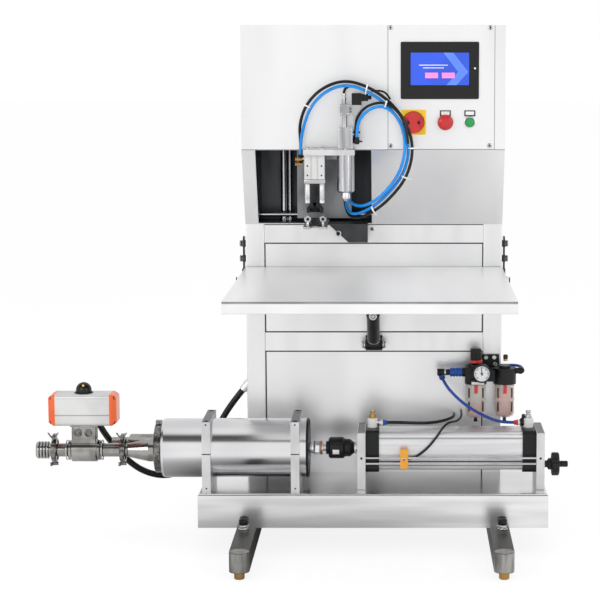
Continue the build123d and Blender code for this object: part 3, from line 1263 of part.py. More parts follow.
def all_parts():
    """Every sub-part by its node name."""
    return {
        "base_tray": base_tray(), "floor_beams": floor_beams(), "levelling_feet": levelling_feet(),
        "column_frame": column_frame(), "cover_panels": cover_panels(), "head_casing": head_casing(),
        "head_liner": head_liner(), "control_panel": control_panel(), "touch_panel": touch_panel(),
        "switch_plate": switch_plate(), "switch_knob": switch_knob(), "button_fittings": button_fittings(),
        "stop_button": stop_button(), "start_button": start_button(), "guide_rods": guide_rods(),
        "carriage_plate": carriage_plate(), "guided_cylinder": guided_cylinder(), "cap_lifter": cap_lifter(),
        "nozzle_body": nozzle_body(), "nozzle_tip": nozzle_tip(), "valve_blocks": valve_blocks(),
        "coil_connector": coil_connector(), "spout_fork": spout_fork(), "wedge_bracket": wedge_bracket(),
        "table_top": table_top(), "table_brackets": table_brackets(), "strut_tube": strut_tube(),
        "strut_rod": strut_rod(), "pump_blocks": pump_blocks(), "product_cylinder": product_cylinder(),
        "pump_piston": pump_piston(), "rod_coupling": rod_coupling(), "air_piston": air_piston(),
        "cylinder_plates": cylinder_plates(), "end_caps": end_caps(), "air_barrel": air_barrel(),
        "reader_guide": reader_guide(), "reader_block": reader_block(), "handwheel": handwheel(),
        "flow_controls": flow_controls(), "manifold": manifold(), "line_pipes": line_pipes(),
        "pipe_clamps": pipe_clamps(), "ball_valve": ball_valve(), "valve_ball": valve_ball(),
        "actuator_body": actuator_body(), "actuator_caps": actuator_caps(), "service_unit": service_unit(),
        "regulator_knob": regulator_knob(), "pressure_gauge": pressure_gauge(), "air_bowls": air_bowls(),
        "shutoff_sleeve": shutoff_sleeve(), "inlet_elbow": inlet_elbow(),
        "loop_hose_blue": hose("loop_hose_blue", LOOP_BLUE_ROUTE, AIR_TUBE),
        "loop_hose_black": hose("loop_hose_black", LOOP_BLACK_ROUTE, AIR_TUBE),
        "branch_hose": hose("branch_hose", BRANCH_ROUTE, AIR_TUBE),
        "sensor_cable": hose("sensor_cable", SENSOR_CABLE_ROUTE, SMALL_TUBE),
        "service_tube": hose("service_tube", SERVICE_TUBE_ROUTE, AIR_TUBE),
        "port_hose": hose("port_hose", PORT_HOSE_ROUTE, AIR_TUBE),
        "valve_loom": hose("valve_loom", LOOM_ROUTE, LOOM),
    }


def origin_shift(parts):
    """X and Y of the machine's box centre, which becomes the origin on the floor."""
    boxes = [shape.bounding_box() for shape in parts.values()]
    x = (min(b.min.X for b in boxes) + max(b.max.X for b in boxes)) / 2
    y = (min(b.min.Y for b in boxes) + max(b.max.Y for b in boxes)) / 2
    return (x, y)


PARTS = all_parts()
ORIGIN_X, ORIGIN_Y = origin_shift(PARTS)


def main():
    """Moves every sub-part to the common origin and writes it."""
    os.makedirs("parts", exist_ok=True)
    print(f"origin at {ORIGIN_X:.3f}, {ORIGIN_Y:.3f}, {len(PARTS)} sub-parts")
    for name, shape in PARTS.items():
        export_step(Pos(-ORIGIN_X, -ORIGIN_Y, 0) * shape, f"parts/{name}.step")


main()
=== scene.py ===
"""Looks of a bag-in-box filling machine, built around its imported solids."""
import logging
import math
from dataclasses import dataclass
from enum import Enum

import bmesh
import bpy
from mathutils import Matrix, Vector


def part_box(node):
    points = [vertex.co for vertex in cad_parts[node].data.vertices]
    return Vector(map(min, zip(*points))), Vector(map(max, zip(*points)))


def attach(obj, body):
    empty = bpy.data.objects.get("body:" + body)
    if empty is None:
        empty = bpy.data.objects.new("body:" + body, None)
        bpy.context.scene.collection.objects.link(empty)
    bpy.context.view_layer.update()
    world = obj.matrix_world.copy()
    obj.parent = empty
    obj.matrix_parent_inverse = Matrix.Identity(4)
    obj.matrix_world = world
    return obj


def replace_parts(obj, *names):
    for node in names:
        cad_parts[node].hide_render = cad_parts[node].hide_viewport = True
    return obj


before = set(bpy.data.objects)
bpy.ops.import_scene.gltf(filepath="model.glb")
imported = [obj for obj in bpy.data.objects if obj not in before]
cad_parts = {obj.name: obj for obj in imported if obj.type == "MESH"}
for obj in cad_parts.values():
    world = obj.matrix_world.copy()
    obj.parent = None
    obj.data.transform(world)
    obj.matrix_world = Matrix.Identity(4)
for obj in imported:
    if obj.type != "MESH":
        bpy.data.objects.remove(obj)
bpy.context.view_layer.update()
LOG = logging.getLogger("filling_machine")

MM = 0.001
SHEET_SETBACK = 2.0
Point = tuple[float, float, float]
LEFT: Point = (-1.0, 0.0, 0.0)
RIGHT: Point = (1.0, 0.0, 0.0)
FRONT: Point = (0.0, -1.0, 0.0)
UP: Point = (0.0, 0.0, 1.0)


class Body(Enum):
    """Rigid bodies that pieces ride on."""

    MACHINE = "machine"
    CARRIAGE = "carriage"
    LIFTER = "lifter"
    SPOUT = "spout"
    TABLE = "table"
    STRUT = "strut"
    PUMP = "pump"
    BALL = "ball"
    LEAD_SCREW = "lead_screw"
    READER = "reader"
    MAIN_SWITCH = "main_switch"
    REGULATOR = "regulator"


class Slot(Enum):
    """Material slots of the record that finishes belong to."""

    SHEET = "brushed_stainless"
    LINER = "liner_stainless"
    POLISHED = "polished_stainless"
    DARK_STEEL = "dark_satin_steel"
    BRASS = "satin_brass"
    ALUMINIUM = "satin_aluminium"
    BLACK_METAL = "black_anodised"
    BLACK = "black_plastic"
    RED = "red_plastic"
    YELLOW = "yellow_plastic"
    GREEN = "green_plastic"
    WHITE = "white_plastic"
    ORANGE = "orange_paint"
    CLEAR = "clear_plastic"
    BLUE = "blue_plastic"
    BLUE_HOSE = "blue_hose"
    BLACK_HOSE = "black_hose"


class Drive(Enum):
    """Heads of screws and bolts."""

    HEX = "hexagon head"
    SOCKET = "round head with a socket"


def machine_shift() -> Vector:
    """Shift in metres from the machine's own middle and front to the row frame."""
    low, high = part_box("cover_panels")
    return Vector(((low.x + high.x) / 2, low.y - SHEET_SETBACK * MM, 0.0))


SHIFT = machine_shift()


def place(x: float, y: float, z: float) -> Vector:
    """Turn machine millimetres into metres in the row frame.

    Args:
        x: Distance to the right of the machine's middle.
        y: Distance behind the column's front.
        z: Height over the floor.

    Returns:
        The point in the row frame.
    """
    return Vector((x * MM, y * MM, z * MM)) + SHIFT


def linear(code: str) -> tuple[float, float, float, float]:
    """Turn an sRGB hex colour into linear values.

    Args:
        code: Six hex digits.

    Returns:
        Linear red, green and blue with full alpha.
    """
    values = []
    for start in (0, 2, 4):
        s = int(code[start:start + 2], 16) / 255
        values.append(s / 12.92 if s <= 0.04045 else ((s + 0.055) / 1.055) ** 2.4)
    return (values[0], values[1], values[2], 1.0)


def grey(level: float) -> tuple[float, float, float, float]:
    """Make a linear grey with full alpha from one level."""
    return (level, level, level, 1.0)


def show(name: str, data: bpy.types.ID) -> bpy.types.Object:
    """Add an object to the scene, at the origin.

    Args:
        name: Its name.
        data: Mesh, curve, light or camera that it shows.

    Returns:
        The object.
    """
    item = bpy.data.objects.new(name, data)
    bpy.context.scene.collection.objects.link(item)
    return item


def empty_tree(owner: bpy.types.Material | bpy.types.World) -> bpy.types.NodeTree:
    """Switch a material or world to nodes and clear its tree.

    Args:
        owner: Material or world.

    Returns:
        Its empty node tree.
    """
    owner.use_nodes = True
    owner.node_tree.nodes.clear()
    return owner.node_tree


def add_node(tree: bpy.types.NodeTree, kind: str, links: dict | None = None, **settings: object) -> bpy.types.Node:
    """Add a shader node with its settings and its links.

    Args:
        tree: Node tree that gets the node.
        kind: Blender's name of the node type.
        links: Values or output sockets for the node's inputs, by name or number.
        settings: Attributes of the node itself.

    Returns:
        The new node.
    """
    made = tree.nodes.new(kind)
    for key, value in settings.items():
        setattr(made, key, value)
    for key, value in (links or {}).items():
        socket = made.inputs[key]
        if isinstance(value, bpy.types.NodeSocket):
            tree.links.new(value, socket)
        else:
            socket.default_value = value
    return made


def ray_kinds(tree: bpy.types.NodeTree) -> tuple[bpy.types.NodeSocket, bpy.types.NodeSocket]:
    """Tell mirrored rays from those that the camera sends straight or through clear pieces.

    Args:
        tree: Node tree that gets the nodes.

    Returns:
        Sockets that are 1 for mirrored rays, and for straight rays.
    """
    rays = add_node(tree, "ShaderNodeLightPath").outputs
    direct = {0: rays["Is Camera Ray"], 1: rays["Is Transmission Ray"]}
    return rays["Is Glossy Ray"], add_node(tree, "ShaderNodeMath", direct, operation="MAXIMUM").outputs[0]


@dataclass(frozen=True)
class Finish:
    """Surface of one real material.

    The grain is a fine noise that roughens and embosses the surface. The cloud is a broad noise
    that moves its colour between two values. Both sizes are millimetres along X, Y and Z, and a
    long size along one axis draws marks that run that way. The layers are the finer noises within
    each, with their weight, and the colour turns between the low and the high patch value.
    """

    name: str
    slot: Slot
    colour: str
    shade: str
    metallic: float
    roughness: float
    spread: float = 0.05
    grain: Point = (30.0, 30.0, 30.0)
    depth: float = 0.0
    cloud: Point = (90.0, 90.0, 90.0)
    ior: float = 1.5
    coat: float = 0.0
    alpha: float = 1.0
    glow: float = 0.0
    fine_layers: float = 3.0
    broad_layers: float = 1.5
    layer_weight: float = 0.55
    patch_low: float = 0.36
    patch_high: float = 0.66

    def noise(self, tree: bpy.types.NodeTree, size: Point, detail: float) -> bpy.types.NodeSocket:
        """Add a noise stretched to a size.

        Args:
            tree: Node tree that gets it.
            size: Size of its marks along X, Y and Z, in millimetres.
            detail: Number of finer layers.

        Returns:
            The noise value.
        """
        where = add_node(tree, "ShaderNodeTexCoord").outputs["Object"]
        scale = tuple(1 / (length * MM) for length in size)
        where = add_node(tree, "ShaderNodeMapping", {"Vector": where, "Scale": scale}).outputs[0]
        marks = {"Vector": where, "Scale": 1.0, "Detail": detail, "Roughness": self.layer_weight}
        return add_node(tree, "ShaderNodeTexNoise", marks).outputs[0]

    def material(self) -> bpy.types.Material:
        """Build the material once and hand it back on later calls.

        Returns:
            The material of this finish.
        """
        known = bpy.data.materials.get(self.name)
        if known:
            return known
        made = bpy.data.materials.new(self.name)
        tree = empty_tree(made)
        grain = self.noise(tree, self.grain, self.fine_layers)
        cloud = self.noise(tree, self.cloud, self.broad_layers)
        limits = {0: cloud, 1: self.patch_low, 2: self.patch_high}
        patch = add_node(tree, "ShaderNodeMapRange", limits, interpolation_type="SMOOTHSTEP").outputs[0]
        colours = {0: patch, 6: linear(self.colour), 7: linear(self.shade)}
        mix = add_node(tree, "ShaderNodeMix", colours, data_type="RGBA")
        smooth, rough = max(0.01, self.roughness - self.spread), self.roughness + self.spread
        gloss = add_node(tree, "ShaderNodeMapRange", {0: grain, 3: smooth, 4: rough})
        looks = {
            "Base Color": mix.outputs[2], "Roughness": gloss.outputs[0], "Metallic": self.metallic,
            "Coat Weight": self.coat, "Alpha": self.alpha,
        }
        shader = add_node(tree, "ShaderNodeBsdfPrincipled", looks)
        if self.metallic < 0.5:
            shader.inputs["IOR"].default_value = self.ior
        if self.glow:
            tree.links.new(mix.outputs[2], shader.inputs["Emission Color"])
            shader.inputs["Emission Strength"].default_value = self.glow
        if self.depth:
            bump = add_node(tree, "ShaderNodeBump", {"Height": grain, "Strength": 1.0, "Distance": self.depth * MM})
            tree.links.new(bump.outputs[0], shader.inputs["Normal"])
        add_node(tree, "ShaderNodeOutputMaterial", {"Surface": shader.outputs[0]})
        return made


# Stainless sheet, brushed along the machine: fine level scratches smear what it mirrors up and down.
# Real scratches are 0.1 mm apart, drawn 2.5 mm apart to show. Broad upright patches are dimmer.
BRUSHED = Finish(
    "brushed_stainless_sheet", Slot.SHEET, "f3f3f3", "e9e9ea", 0.74, 0.3, 0.05, (420, 420, 2.5), 0.006,
    (170, 170, 800),
)
# The table's top, worn to a milky shine.
MILKY = Finish(
    "milky_stainless_top", Slot.SHEET, "f6f6f6", "eaeaeb", 0.42, 0.34, 0.05, (420, 3, 420), 0.005, (190, 900, 190),
)
# The same sheet, brushed upwards, as on the posts.
BRUSHED_UP = Finish(
    "brushed_stainless_post", Slot.SHEET, "efefef", "e8e8e9", 0.9, 0.34, 0.05, (3, 3, 420), 0.003, (60, 60, 500),
)
# Sheet with a bright rolled face, as on the tray: it mirrors the pump softly.
ROLLED = Finish(
    "rolled_stainless_tray", Slot.SHEET, "f0f0f0", "d6d6d7", 1.0, 0.17, 0.04, (420, 300, 4), 0.006, (420, 300, 40),
)
# Painted shadow: near black, for the narrow shadow in fold and joint lines between two sheets, and in gaps, holes,
# sockets and slots.
GAP_SHADE = Finish("painted_gap_shade", Slot.LINER, "1c1d1e", "141516", 0.0, 0.7, 0.05, (6, 6, 6))
# Painted shade: a strip greyer than the sheet's faces, laid along a fold for the shade on the bend.
FOLD_SHADE = Finish("painted_fold_shade", Slot.LINER, "77787a", "66676a", 0.9, 0.45, 0.05, (40, 6, 6))
# Painted shade: only a little greyer than the sheet, laid on the table's front fold to dull its bright bevel, and
# along edges of the barrel and the actuator.
EDGE_SHADE = Finish("painted_edge_shade", Slot.SHEET, "b4b5b7", "a4a5a7", 0.9, 0.4, 0.05, (400, 6, 6))
# Polished stainless tube, with faint turning marks.
POLISHED = Finish(
    "polished_stainless_tube", Slot.POLISHED, "ececed", "dddddf", 1.0, 0.17, 0.03, (2.5, 300, 300), 0.002,
    (260, 120, 120),
)
# Turned steel of the filling valve, greyer than tube.
TURNED = Finish(
    "turned_stainless_valve", Slot.POLISHED, "c6c6c9", "a8a8ab", 1.0, 0.2, 0.05, (60, 60, 1.5), 0.006, (9, 9, 200),
)
# Food-grade fittings, cast and then tumbled: greyer and wavier than tube.
TUMBLED = Finish(
    "tumbled_stainless_fitting", Slot.POLISHED, "a9a7a4", "8d8b88", 1.0, 0.17, 0.05, (30, 30, 30), 0.02, (30, 30, 30),
)
# Cast clamps, darker than the fittings, mottled in small random patches.
CLAMP = Finish(
    "cast_stainless_clamp", Slot.POLISHED, "8b8986", "605e5c", 1.0, 0.2, 0.06, (10, 10, 10), 0.03, (9, 9, 9),
)
# Ground steel shafts.
GROUND = Finish("ground_steel_shaft", Slot.POLISHED, "dedee0", "c8c8cb", 1.0, 0.14, 0.04, (1.5, 60, 60), 0.003)
# Chromed rings.
CHROME = Finish("bright_chrome", Slot.POLISHED, "eeeeef", "dfdfe1", 1.0, 0.08, 0.02, (20, 20, 20))
# Machined aluminium plate, clear anodised: matt light grey with fine level tool marks.
MACHINED = Finish(
    "machined_aluminium", Slot.ALUMINIUM, "dededf", "cfcfd0", 0.75, 0.42, 0.06, (60, 60, 2), 0.008, (50, 50, 70),
)
# Sawn edge of thick aluminium plate: rough and dark.
SAWN = Finish(
    "sawn_aluminium_edge", Slot.ALUMINIUM, "8e8f90", "747576", 0.7, 0.5, 0.08, (1.8, 30, 1.8), 0.05, (9, 9, 9),
)
# Extruded aluminium, clear anodised, with long die lines.
EXTRUDED = Finish(
    "extruded_aluminium", Slot.ALUMINIUM, "e8e8e9", "d8d8da", 0.7, 0.34, 0.05, (400, 2.5, 2.5), 0.008, (300, 14, 14),
)
# Bead-blasted cylinder body.
BLASTED = Finish("blasted_aluminium", Slot.ALUMINIUM, "dfdfde", "cfcfce", 0.7, 0.46, 0.05, (2, 2, 2), 0.015)
# Machined aluminium, black anodised.
BLACK_ANODISED = Finish(
    "black_anodised_aluminium", Slot.BLACK_METAL, "101112", "0a0b0c", 0.3, 0.42, 0.06, (3, 3, 3), 0.01,
)
# Blackened steel with an oily sheen.
BLACKENED = Finish(
    "blackened_steel", Slot.DARK_STEEL, "343537", "232425", 0.85, 0.36, 0.07, (6, 6, 6), 0.015, (18, 18, 18),
)
# Floor beams: hot-rolled bar, dark and worn lighter along its length.
BAR = Finish("dark_rolled_bar", Slot.DARK_STEEL, "5d5b58", "474644", 0.9, 0.4, 0.07, (3, 260, 3), 0.02, (20, 240, 20))
# Ground noses of the beams.
NOSE = Finish(
    "ground_beam_nose", Slot.DARK_STEEL, "a9a7a3", "8d8b88", 0.95, 0.3, 0.06, (3, 3, 60), 0.01, (14, 14, 60),
)
# Painted shade: sheet inside the mouth, given a dark grey for the shade there, and unpolished.
SHADED_LINER = Finish(
    "painted_shade_liner", Slot.LINER, "4c4e50", "2f3133", 1.0, 0.36, 0.06, (300, 300, 3), 0.012, (60, 60, 260),
)
# Grey steel plate behind the carriage.
GREY_PLATE = Finish("grey_steel_plate", Slot.POLISHED, "c4c4c5", "a2a2a3", 0.9, 0.34, 0.06, (3, 3, 160), 0.008)
# Painted shade: a dimmer copy of the grey steel plate, for the carriage's plates in the shade inside the mouth, and
# unpolished.
SHADED_PLATE = Finish(
    "shaded_steel_plate", Slot.POLISHED, "8f9092", "626365", 0.95, 0.3, 0.06, (3, 3, 160), 0.008, (70, 70, 110),
)
# Bent bracket, dull rolled steel.
DULL_STEEL = Finish(
    "dull_rolled_steel", Slot.DARK_STEEL, "4b4c4d", "414243", 0.9, 0.42, 0.06, (40, 40, 3), 0.012, (40, 40, 40),
)
BRASS = Finish("turned_brass", Slot.BRASS, "c9a566", "b48f52", 1.0, 0.28, 0.06, (5, 5, 5), 0.01)
COPPER = Finish("copper_seal", Slot.BRASS, "c9713a", "b5602f", 1.0, 0.35, 0.05, (5, 5, 5), 0.01)
# Nickel-plated screws and small fittings.
NICKEL = Finish(
    "nickel_plated_steel", Slot.POLISHED, "d2d2d0", "b2b2b0", 1.0, 0.22, 0.05, (8, 8, 8), 0.008, (6, 6, 6),
)
# Moulded nylon and ABS housings, black with a fine spark-eroded grain.
BLACK_NYLON = Finish(
    "black_moulded_nylon", Slot.BLACK, "0a0b0c", "060607", 0.0, 0.46, 0.05, (1.4, 1.4, 1.4), 0.03, ior=1.42,
)
# Smooth black ABS, as on the touch panel's frame.
BLACK_ABS = Finish("black_smooth_abs", Slot.BLACK, "0a0a0b", "070708", 0.0, 0.3, 0.03, (40, 40, 40), ior=1.45)
WHITE_ACETAL = Finish("white_acetal", Slot.WHITE, "eeeeec", "e2e2df", 0.0, 0.38, 0.04, (12, 12, 12), 0.01, ior=1.48)
LABEL = Finish("blank_white_label", Slot.WHITE, "f2f2f0", "e8e8e6", 0.0, 0.5, 0.04, (12, 12, 12), ior=1.48)
YELLOW_ABS = Finish("yellow_abs", Slot.YELLOW, "ffd61a", "f5c80c", 0.0, 0.35, 0.04, (20, 20, 20), ior=1.54)
# Reader block in orange-yellow nylon.
AMBER_NYLON = Finish("amber_nylon", Slot.YELLOW, "f5ab24", "e69a18", 0.0, 0.4, 0.04, (8, 8, 8), 0.02, ior=1.53)
RED_ABS = Finish("red_abs", Slot.RED, "d42727", "c01d20", 0.0, 0.3, 0.04, (20, 20, 20), ior=1.54, coat=0.2)
GREEN_ABS = Finish("green_abs", Slot.GREEN, "18a550", "109246", 0.0, 0.3, 0.04, (20, 20, 20), ior=1.54, coat=0.2)
# Acetal of collets and of the shut-off sleeve.
BLUE_ACETAL = Finish("blue_acetal", Slot.BLUE, "0c55b4", "09479a", 0.0, 0.35, 0.04, (10, 10, 10), 0.01, ior=1.48)
# Orange powder coat with faint orange peel.
ORANGE_COAT = Finish("orange_powder_coat", Slot.ORANGE, "f26a26", "e75c1a", 0.0, 0.3, 0.05, (3, 3, 3), 0.04, coat=0.3)
BLUE_TUBE = Finish("blue_polyurethane_tube", Slot.BLUE_HOSE, "0594ee", "0486de", 0.0, 0.28, 0.04, (15, 15, 15))
# Deeper blue, as on the service unit.
NAVY_TUBE = Finish("navy_polyurethane_tube", Slot.BLUE_HOSE, "1148a6", "0c3c90", 0.0, 0.28, 0.04, (15, 15, 15))
BLACK_TUBE = Finish(
    "black_polyurethane_tube", Slot.BLACK_HOSE, "08090a", "050506", 0.0, 0.36, 0.04, (12, 12, 12), ior=1.42,
)
WHITE_NYLON = Finish("white_nylon_tie", Slot.WHITE, "f4f4f2", "e9e9e6", 0.0, 0.4, 0.04, (6, 6, 6), ior=1.53)
# Smoky polycarbonate guards: seen through, with a warm grey cast.
SMOKY_GUARD = Finish(
    "smoky_polycarbonate", Slot.CLEAR, "ece6dc", "e0d9ce", 0.0, 0.24, 0.04, (20, 20, 20), ior=1.58, alpha=0.4,
)
PINK_OIL = Finish("pink_oil", Slot.CLEAR, "f0405a", "e8344c", 0.0, 0.2, 0.03, (15, 15, 15), ior=1.47)
CLEAR_ACRYLIC = Finish(
    "clear_acrylic", Slot.CLEAR, "f4f6f7", "eceff0", 0.0, 0.06, 0.02, (20, 20, 20), ior=1.49, alpha=0.1,
)
DIAL_WHITE = Finish("white_dial", Slot.WHITE, "f3f4f5", "e9ebed", 0.0, 0.5, 0.03, (10, 10, 10))
DIAL_INK = Finish("black_dial_ink", Slot.BLACK, "0c0d0f", "08090a", 0.0, 0.5, 0.03, (10, 10, 10))
# Backlit screen glass: fields that glow a little.
SCREEN_BLUE = Finish(
    "backlit_screen_blue", Slot.BLUE, "2450d4", "2049c2", 0.0, 0.15, 0.02, (60, 60, 40), coat=0.4, glow=0.35,
)
SCREEN_PALE = Finish("backlit_screen_pale", Slot.BLUE, "5d84ea", "547be2", 0.0, 0.15, 0.02, (60, 60, 40), glow=0.35)
SCREEN_PINK = Finish("backlit_screen_pink", Slot.RED, "ef8fcb", "e683c2", 0.0, 0.15, 0.02, (60, 60, 40), glow=0.4)


class Shape:
    """A bmesh made from operator shapes in machine millimetres, which ends as one piece."""

    def __init__(self) -> None:
        """Start with an empty mesh."""
        self.mesh = bmesh.new()

    def soften(self, edges: set, width: float, steps: int = 2) -> None:
        """Bevel a set of edges.

        Args:
            edges: Edges to soften.
            width: Width of the bevel in millimetres.
            steps: Segments across the bevel.
        """
        bmesh.ops.bevel(
            self.mesh, geom=list(edges), offset=width * MM, offset_type="OFFSET", segments=steps, profile=0.5,
            affect="EDGES", material=-1,
        )

    def block(self, low: Point, high: Point, bevel: float = 0.0, steps: int = 2, lean: float = 0.0) -> "Shape":
        """Add a block with softened edges.

        Args:
            low: Lowest corner.
            high: Highest corner before any push.
            bevel: Width of the softened edge.
            steps: Segments of the softened edge.
            lean: Push of the top to the right.

        Returns:
            This shape.
        """
        a, b = place(*low), place(*high)
        verts = bmesh.ops.create_cube(self.mesh, size=1.0)["verts"]
        bmesh.ops.scale(self.mesh, vec=b - a, verts=verts)
        bmesh.ops.translate(self.mesh, vec=(a + b) / 2, verts=verts)
        if lean:
            tops = [vert for vert in verts if vert.co.z > (a.z + b.z) / 2]
            bmesh.ops.translate(self.mesh, vec=(lean * MM, 0, 0), verts=tops)
        if bevel:
            self.soften({edge for vert in verts for edge in vert.link_edges}, bevel, steps)
        return self

    def rod(
        self, start: Point, end: Point, radius: float, end_radius: float | None = None, sides: int = 32,
        bevel: float = 0.0,
    ) -> "Shape":
        """Add a round or many-sided bar between two points.

        Args:
            start: First end.
            end: Second end.
            radius: Radius at the first end.
            end_radius: Radius at the second end, the same when left out.
            sides: Number of sides.
            bevel: Width of the softened rims.

        Returns:
            This shape.
        """
        a, b = place(*start), place(*end)
        run = b - a
        turn = run.to_track_quat("Z", "Y").to_matrix().to_4x4()
        verts = bmesh.ops.create_cone(
            self.mesh, cap_ends=True, cap_tris=False, segments=sides, radius1=radius * MM,
            radius2=(radius if end_radius is None else end_radius) * MM, depth=run.length,
            matrix=Matrix.Translation((a + b) / 2) @ turn,
        )["verts"]
        if bevel:
            edges = {edge for vert in verts for edge in vert.link_edges}
            self.soften({edge for edge in edges if any(len(face.verts) > 4 for face in edge.link_faces)}, bevel)
        return self

    def turned(self, profile: list[tuple[float, float]], centre: Point, axis: Point, steps: int = 48) -> "Shape":
        """Spin a profile round an axis.

        Args:
            profile: Points as distance along the axis and radius.
            centre: Point where the axis distance is nought.
            axis: Direction of the axis.
            steps: Segments round the axis.

        Returns:
            This shape.
        """
        heading = Vector(axis).normalized()
        side = heading.orthogonal().normalized()
        origin = place(*centre)
        spots = [origin + heading * along * MM + side * radius * MM for along, radius in profile]
        verts = [self.mesh.verts.new(spot) for spot in spots]
        edges = [self.mesh.edges.new(pair) for pair in zip(verts, verts[1:])]
        bmesh.ops.spin(
            self.mesh, geom=verts + edges, cent=origin, axis=heading, angle=math.tau, steps=steps,
            use_merge=True, use_duplicate=False, dvec=(0, 0, 0),
        )
        return self

    def band(self, centre: Point, axis: Point, inner: float, outer: float, width: float) -> "Shape":
        """Add a ring with softened rims.

        Args:
            centre: Middle of the ring.
            axis: Direction of its axis.
            inner: Inner radius.
            outer: Outer radius.
            width: Width along the axis.

        Returns:
            This shape.
        """
        half, edge = width / 2, min(width, outer - inner) * 0.25
        profile = [
            (-half, inner), (-half, outer - edge), (-half + edge, outer), (half - edge, outer),
            (half, outer - edge), (half, inner), (-half, inner),
        ]
        return self.turned(profile, centre, axis)

    def screw(self, seat: Point, axis: Point, radius: float, height: float, drive: Drive = Drive.SOCKET) -> "Shape":
        """Add a screw head that stands on a face.

        Args:
            seat: Middle of the head where it meets the face.
            axis: Direction in which the head stands out.
            radius: Radius of the head.
            height: Height of the head.
            drive: Form of the head.

        Returns:
            This shape.
        """
        heading = Vector(axis).normalized()
        if drive is Drive.HEX:
            top = tuple(s + h * height for s, h in zip(seat, heading))
            return self.rod(seat, top, radius, sides=6, bevel=radius * 0.12)
        profile = [
            (0, 0), (0, radius), (height * 0.8, radius), (height, radius * 0.85), (height, radius * 0.5),
            (height * 0.4, radius * 0.42), (height * 0.4, 0),
        ]
        return self.turned(profile, seat, tuple(heading), 24)

    def sockets(self, seats: tuple[Point, ...], axis: Point, radius: float, depth: float = 0.3) -> "Shape":
        """Add painted shade for the recesses of sockets or holes, as shallow dark caps.

        Args:
            seats: Their middles.
            axis: Direction in which they face.
            radius: Their radius.
            depth: How far they stand proud.

        Returns:
            This shape.
        """
        for seat in seats:
            self.turned([(0, radius), (depth, radius), (depth, radius * 0.5), (depth, 0)], seat, axis, 16)
        return self

    def done(self, name: str, finish: Finish, body: Body = Body.MACHINE, smooth: float = 40.0) -> bpy.types.Object:
        """Close the mesh and hand over the finished piece.

        Args:
            name: Name of the piece.
            finish: Its surface.
            body: Body that it rides on.
            smooth: Edges sharper than this angle stay sharp, in degrees.

        Returns:
            The piece.
        """
        bmesh.ops.remove_doubles(self.mesh, verts=self.mesh.verts[:], dist=1e-6)
        bmesh.ops.recalc_face_normals(self.mesh, faces=self.mesh.faces[:])
        data = bpy.data.meshes.new(name)
        self.mesh.to_mesh(data)
        self.mesh.free()
        for polygon in data.polygons:
            polygon.use_smooth = True
        data.set_sharp_from_angle(angle=math.radians(smooth))
        data.materials.append(finish.material())
        piece = show(name, data)
        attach(piece, body.value)
        LOG.info("piece %s", name)
        return piece


class Assembly:
    """Part of the looks: each public method written in its class adds some pieces."""

    def build(self) -> None:
        """Call those methods in the order in which they are written."""
        for name, step in list(vars(type(self)).items()):
            if callable(step) and not name.startswith("_"):
                step(self)
        LOG.info("built %s", type(self).__name__)


@dataclass(frozen=True)
class Dress(Assembly):
    """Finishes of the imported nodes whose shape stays."""

    by_finish: tuple[tuple[Finish, tuple[str, ...]], ...] = (
        (BRUSHED, ("cover_panels", "head_casing", "control_panel")),
        (MILKY, ("table_top",)),
        (BRUSHED_UP, ("column_frame",)),
        (ROLLED, ("base_tray",)),
        (BAR, ("floor_beams",)),
        (BRASS, ("levelling_feet",)),
        (SHADED_LINER, ("head_liner",)),
        (GREY_PLATE, ("spout_fork", "valve_blocks")),
        (SHADED_PLATE, ("carriage_plate",)),
        (DULL_STEEL, ("wedge_bracket", "table_brackets")),
        (GROUND, ("guide_rods", "reader_guide", "strut_rod", "pump_piston", "air_piston", "valve_ball")),
        (MACHINED, ("pump_blocks", "cylinder_plates", "cap_lifter")),
        (BLASTED, ("guided_cylinder", "actuator_body")),
        (EXTRUDED, ("air_barrel",)),
        (POLISHED, ("product_cylinder",)),
        (TURNED, ("nozzle_body", "nozzle_tip")),
        (TUMBLED, ("manifold", "line_pipes", "ball_valve")),
        (CLAMP, ("pipe_clamps",)),
        (BLACK_ANODISED, ("end_caps", "rod_coupling", "strut_tube")),
        (BLACK_ABS, ("touch_panel",)),
        (BLACK_NYLON, (
            "handwheel", "coil_connector", "service_unit", "regulator_knob", "button_fittings", "pressure_gauge",
            "inlet_elbow",
        )),
        (RED_ABS, ("switch_knob", "stop_button")),
        (YELLOW_ABS, ("switch_plate",)),
        (AMBER_NYLON, ("reader_block",)),
        (GREEN_ABS, ("start_button",)),
        (WHITE_ACETAL, ("flow_controls",)),
        (ORANGE_COAT, ("actuator_caps",)),
        (SMOKY_GUARD, ("air_bowls",)),
        (BLUE_ACETAL, ("shutoff_sleeve",)),
    )

    def nodes(self) -> None:
        """Give each node its finish."""
        for finish, names in self.by_finish:
            for name in names:
                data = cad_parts[name].data
                data.materials.clear()
                data.materials.append(finish.material())


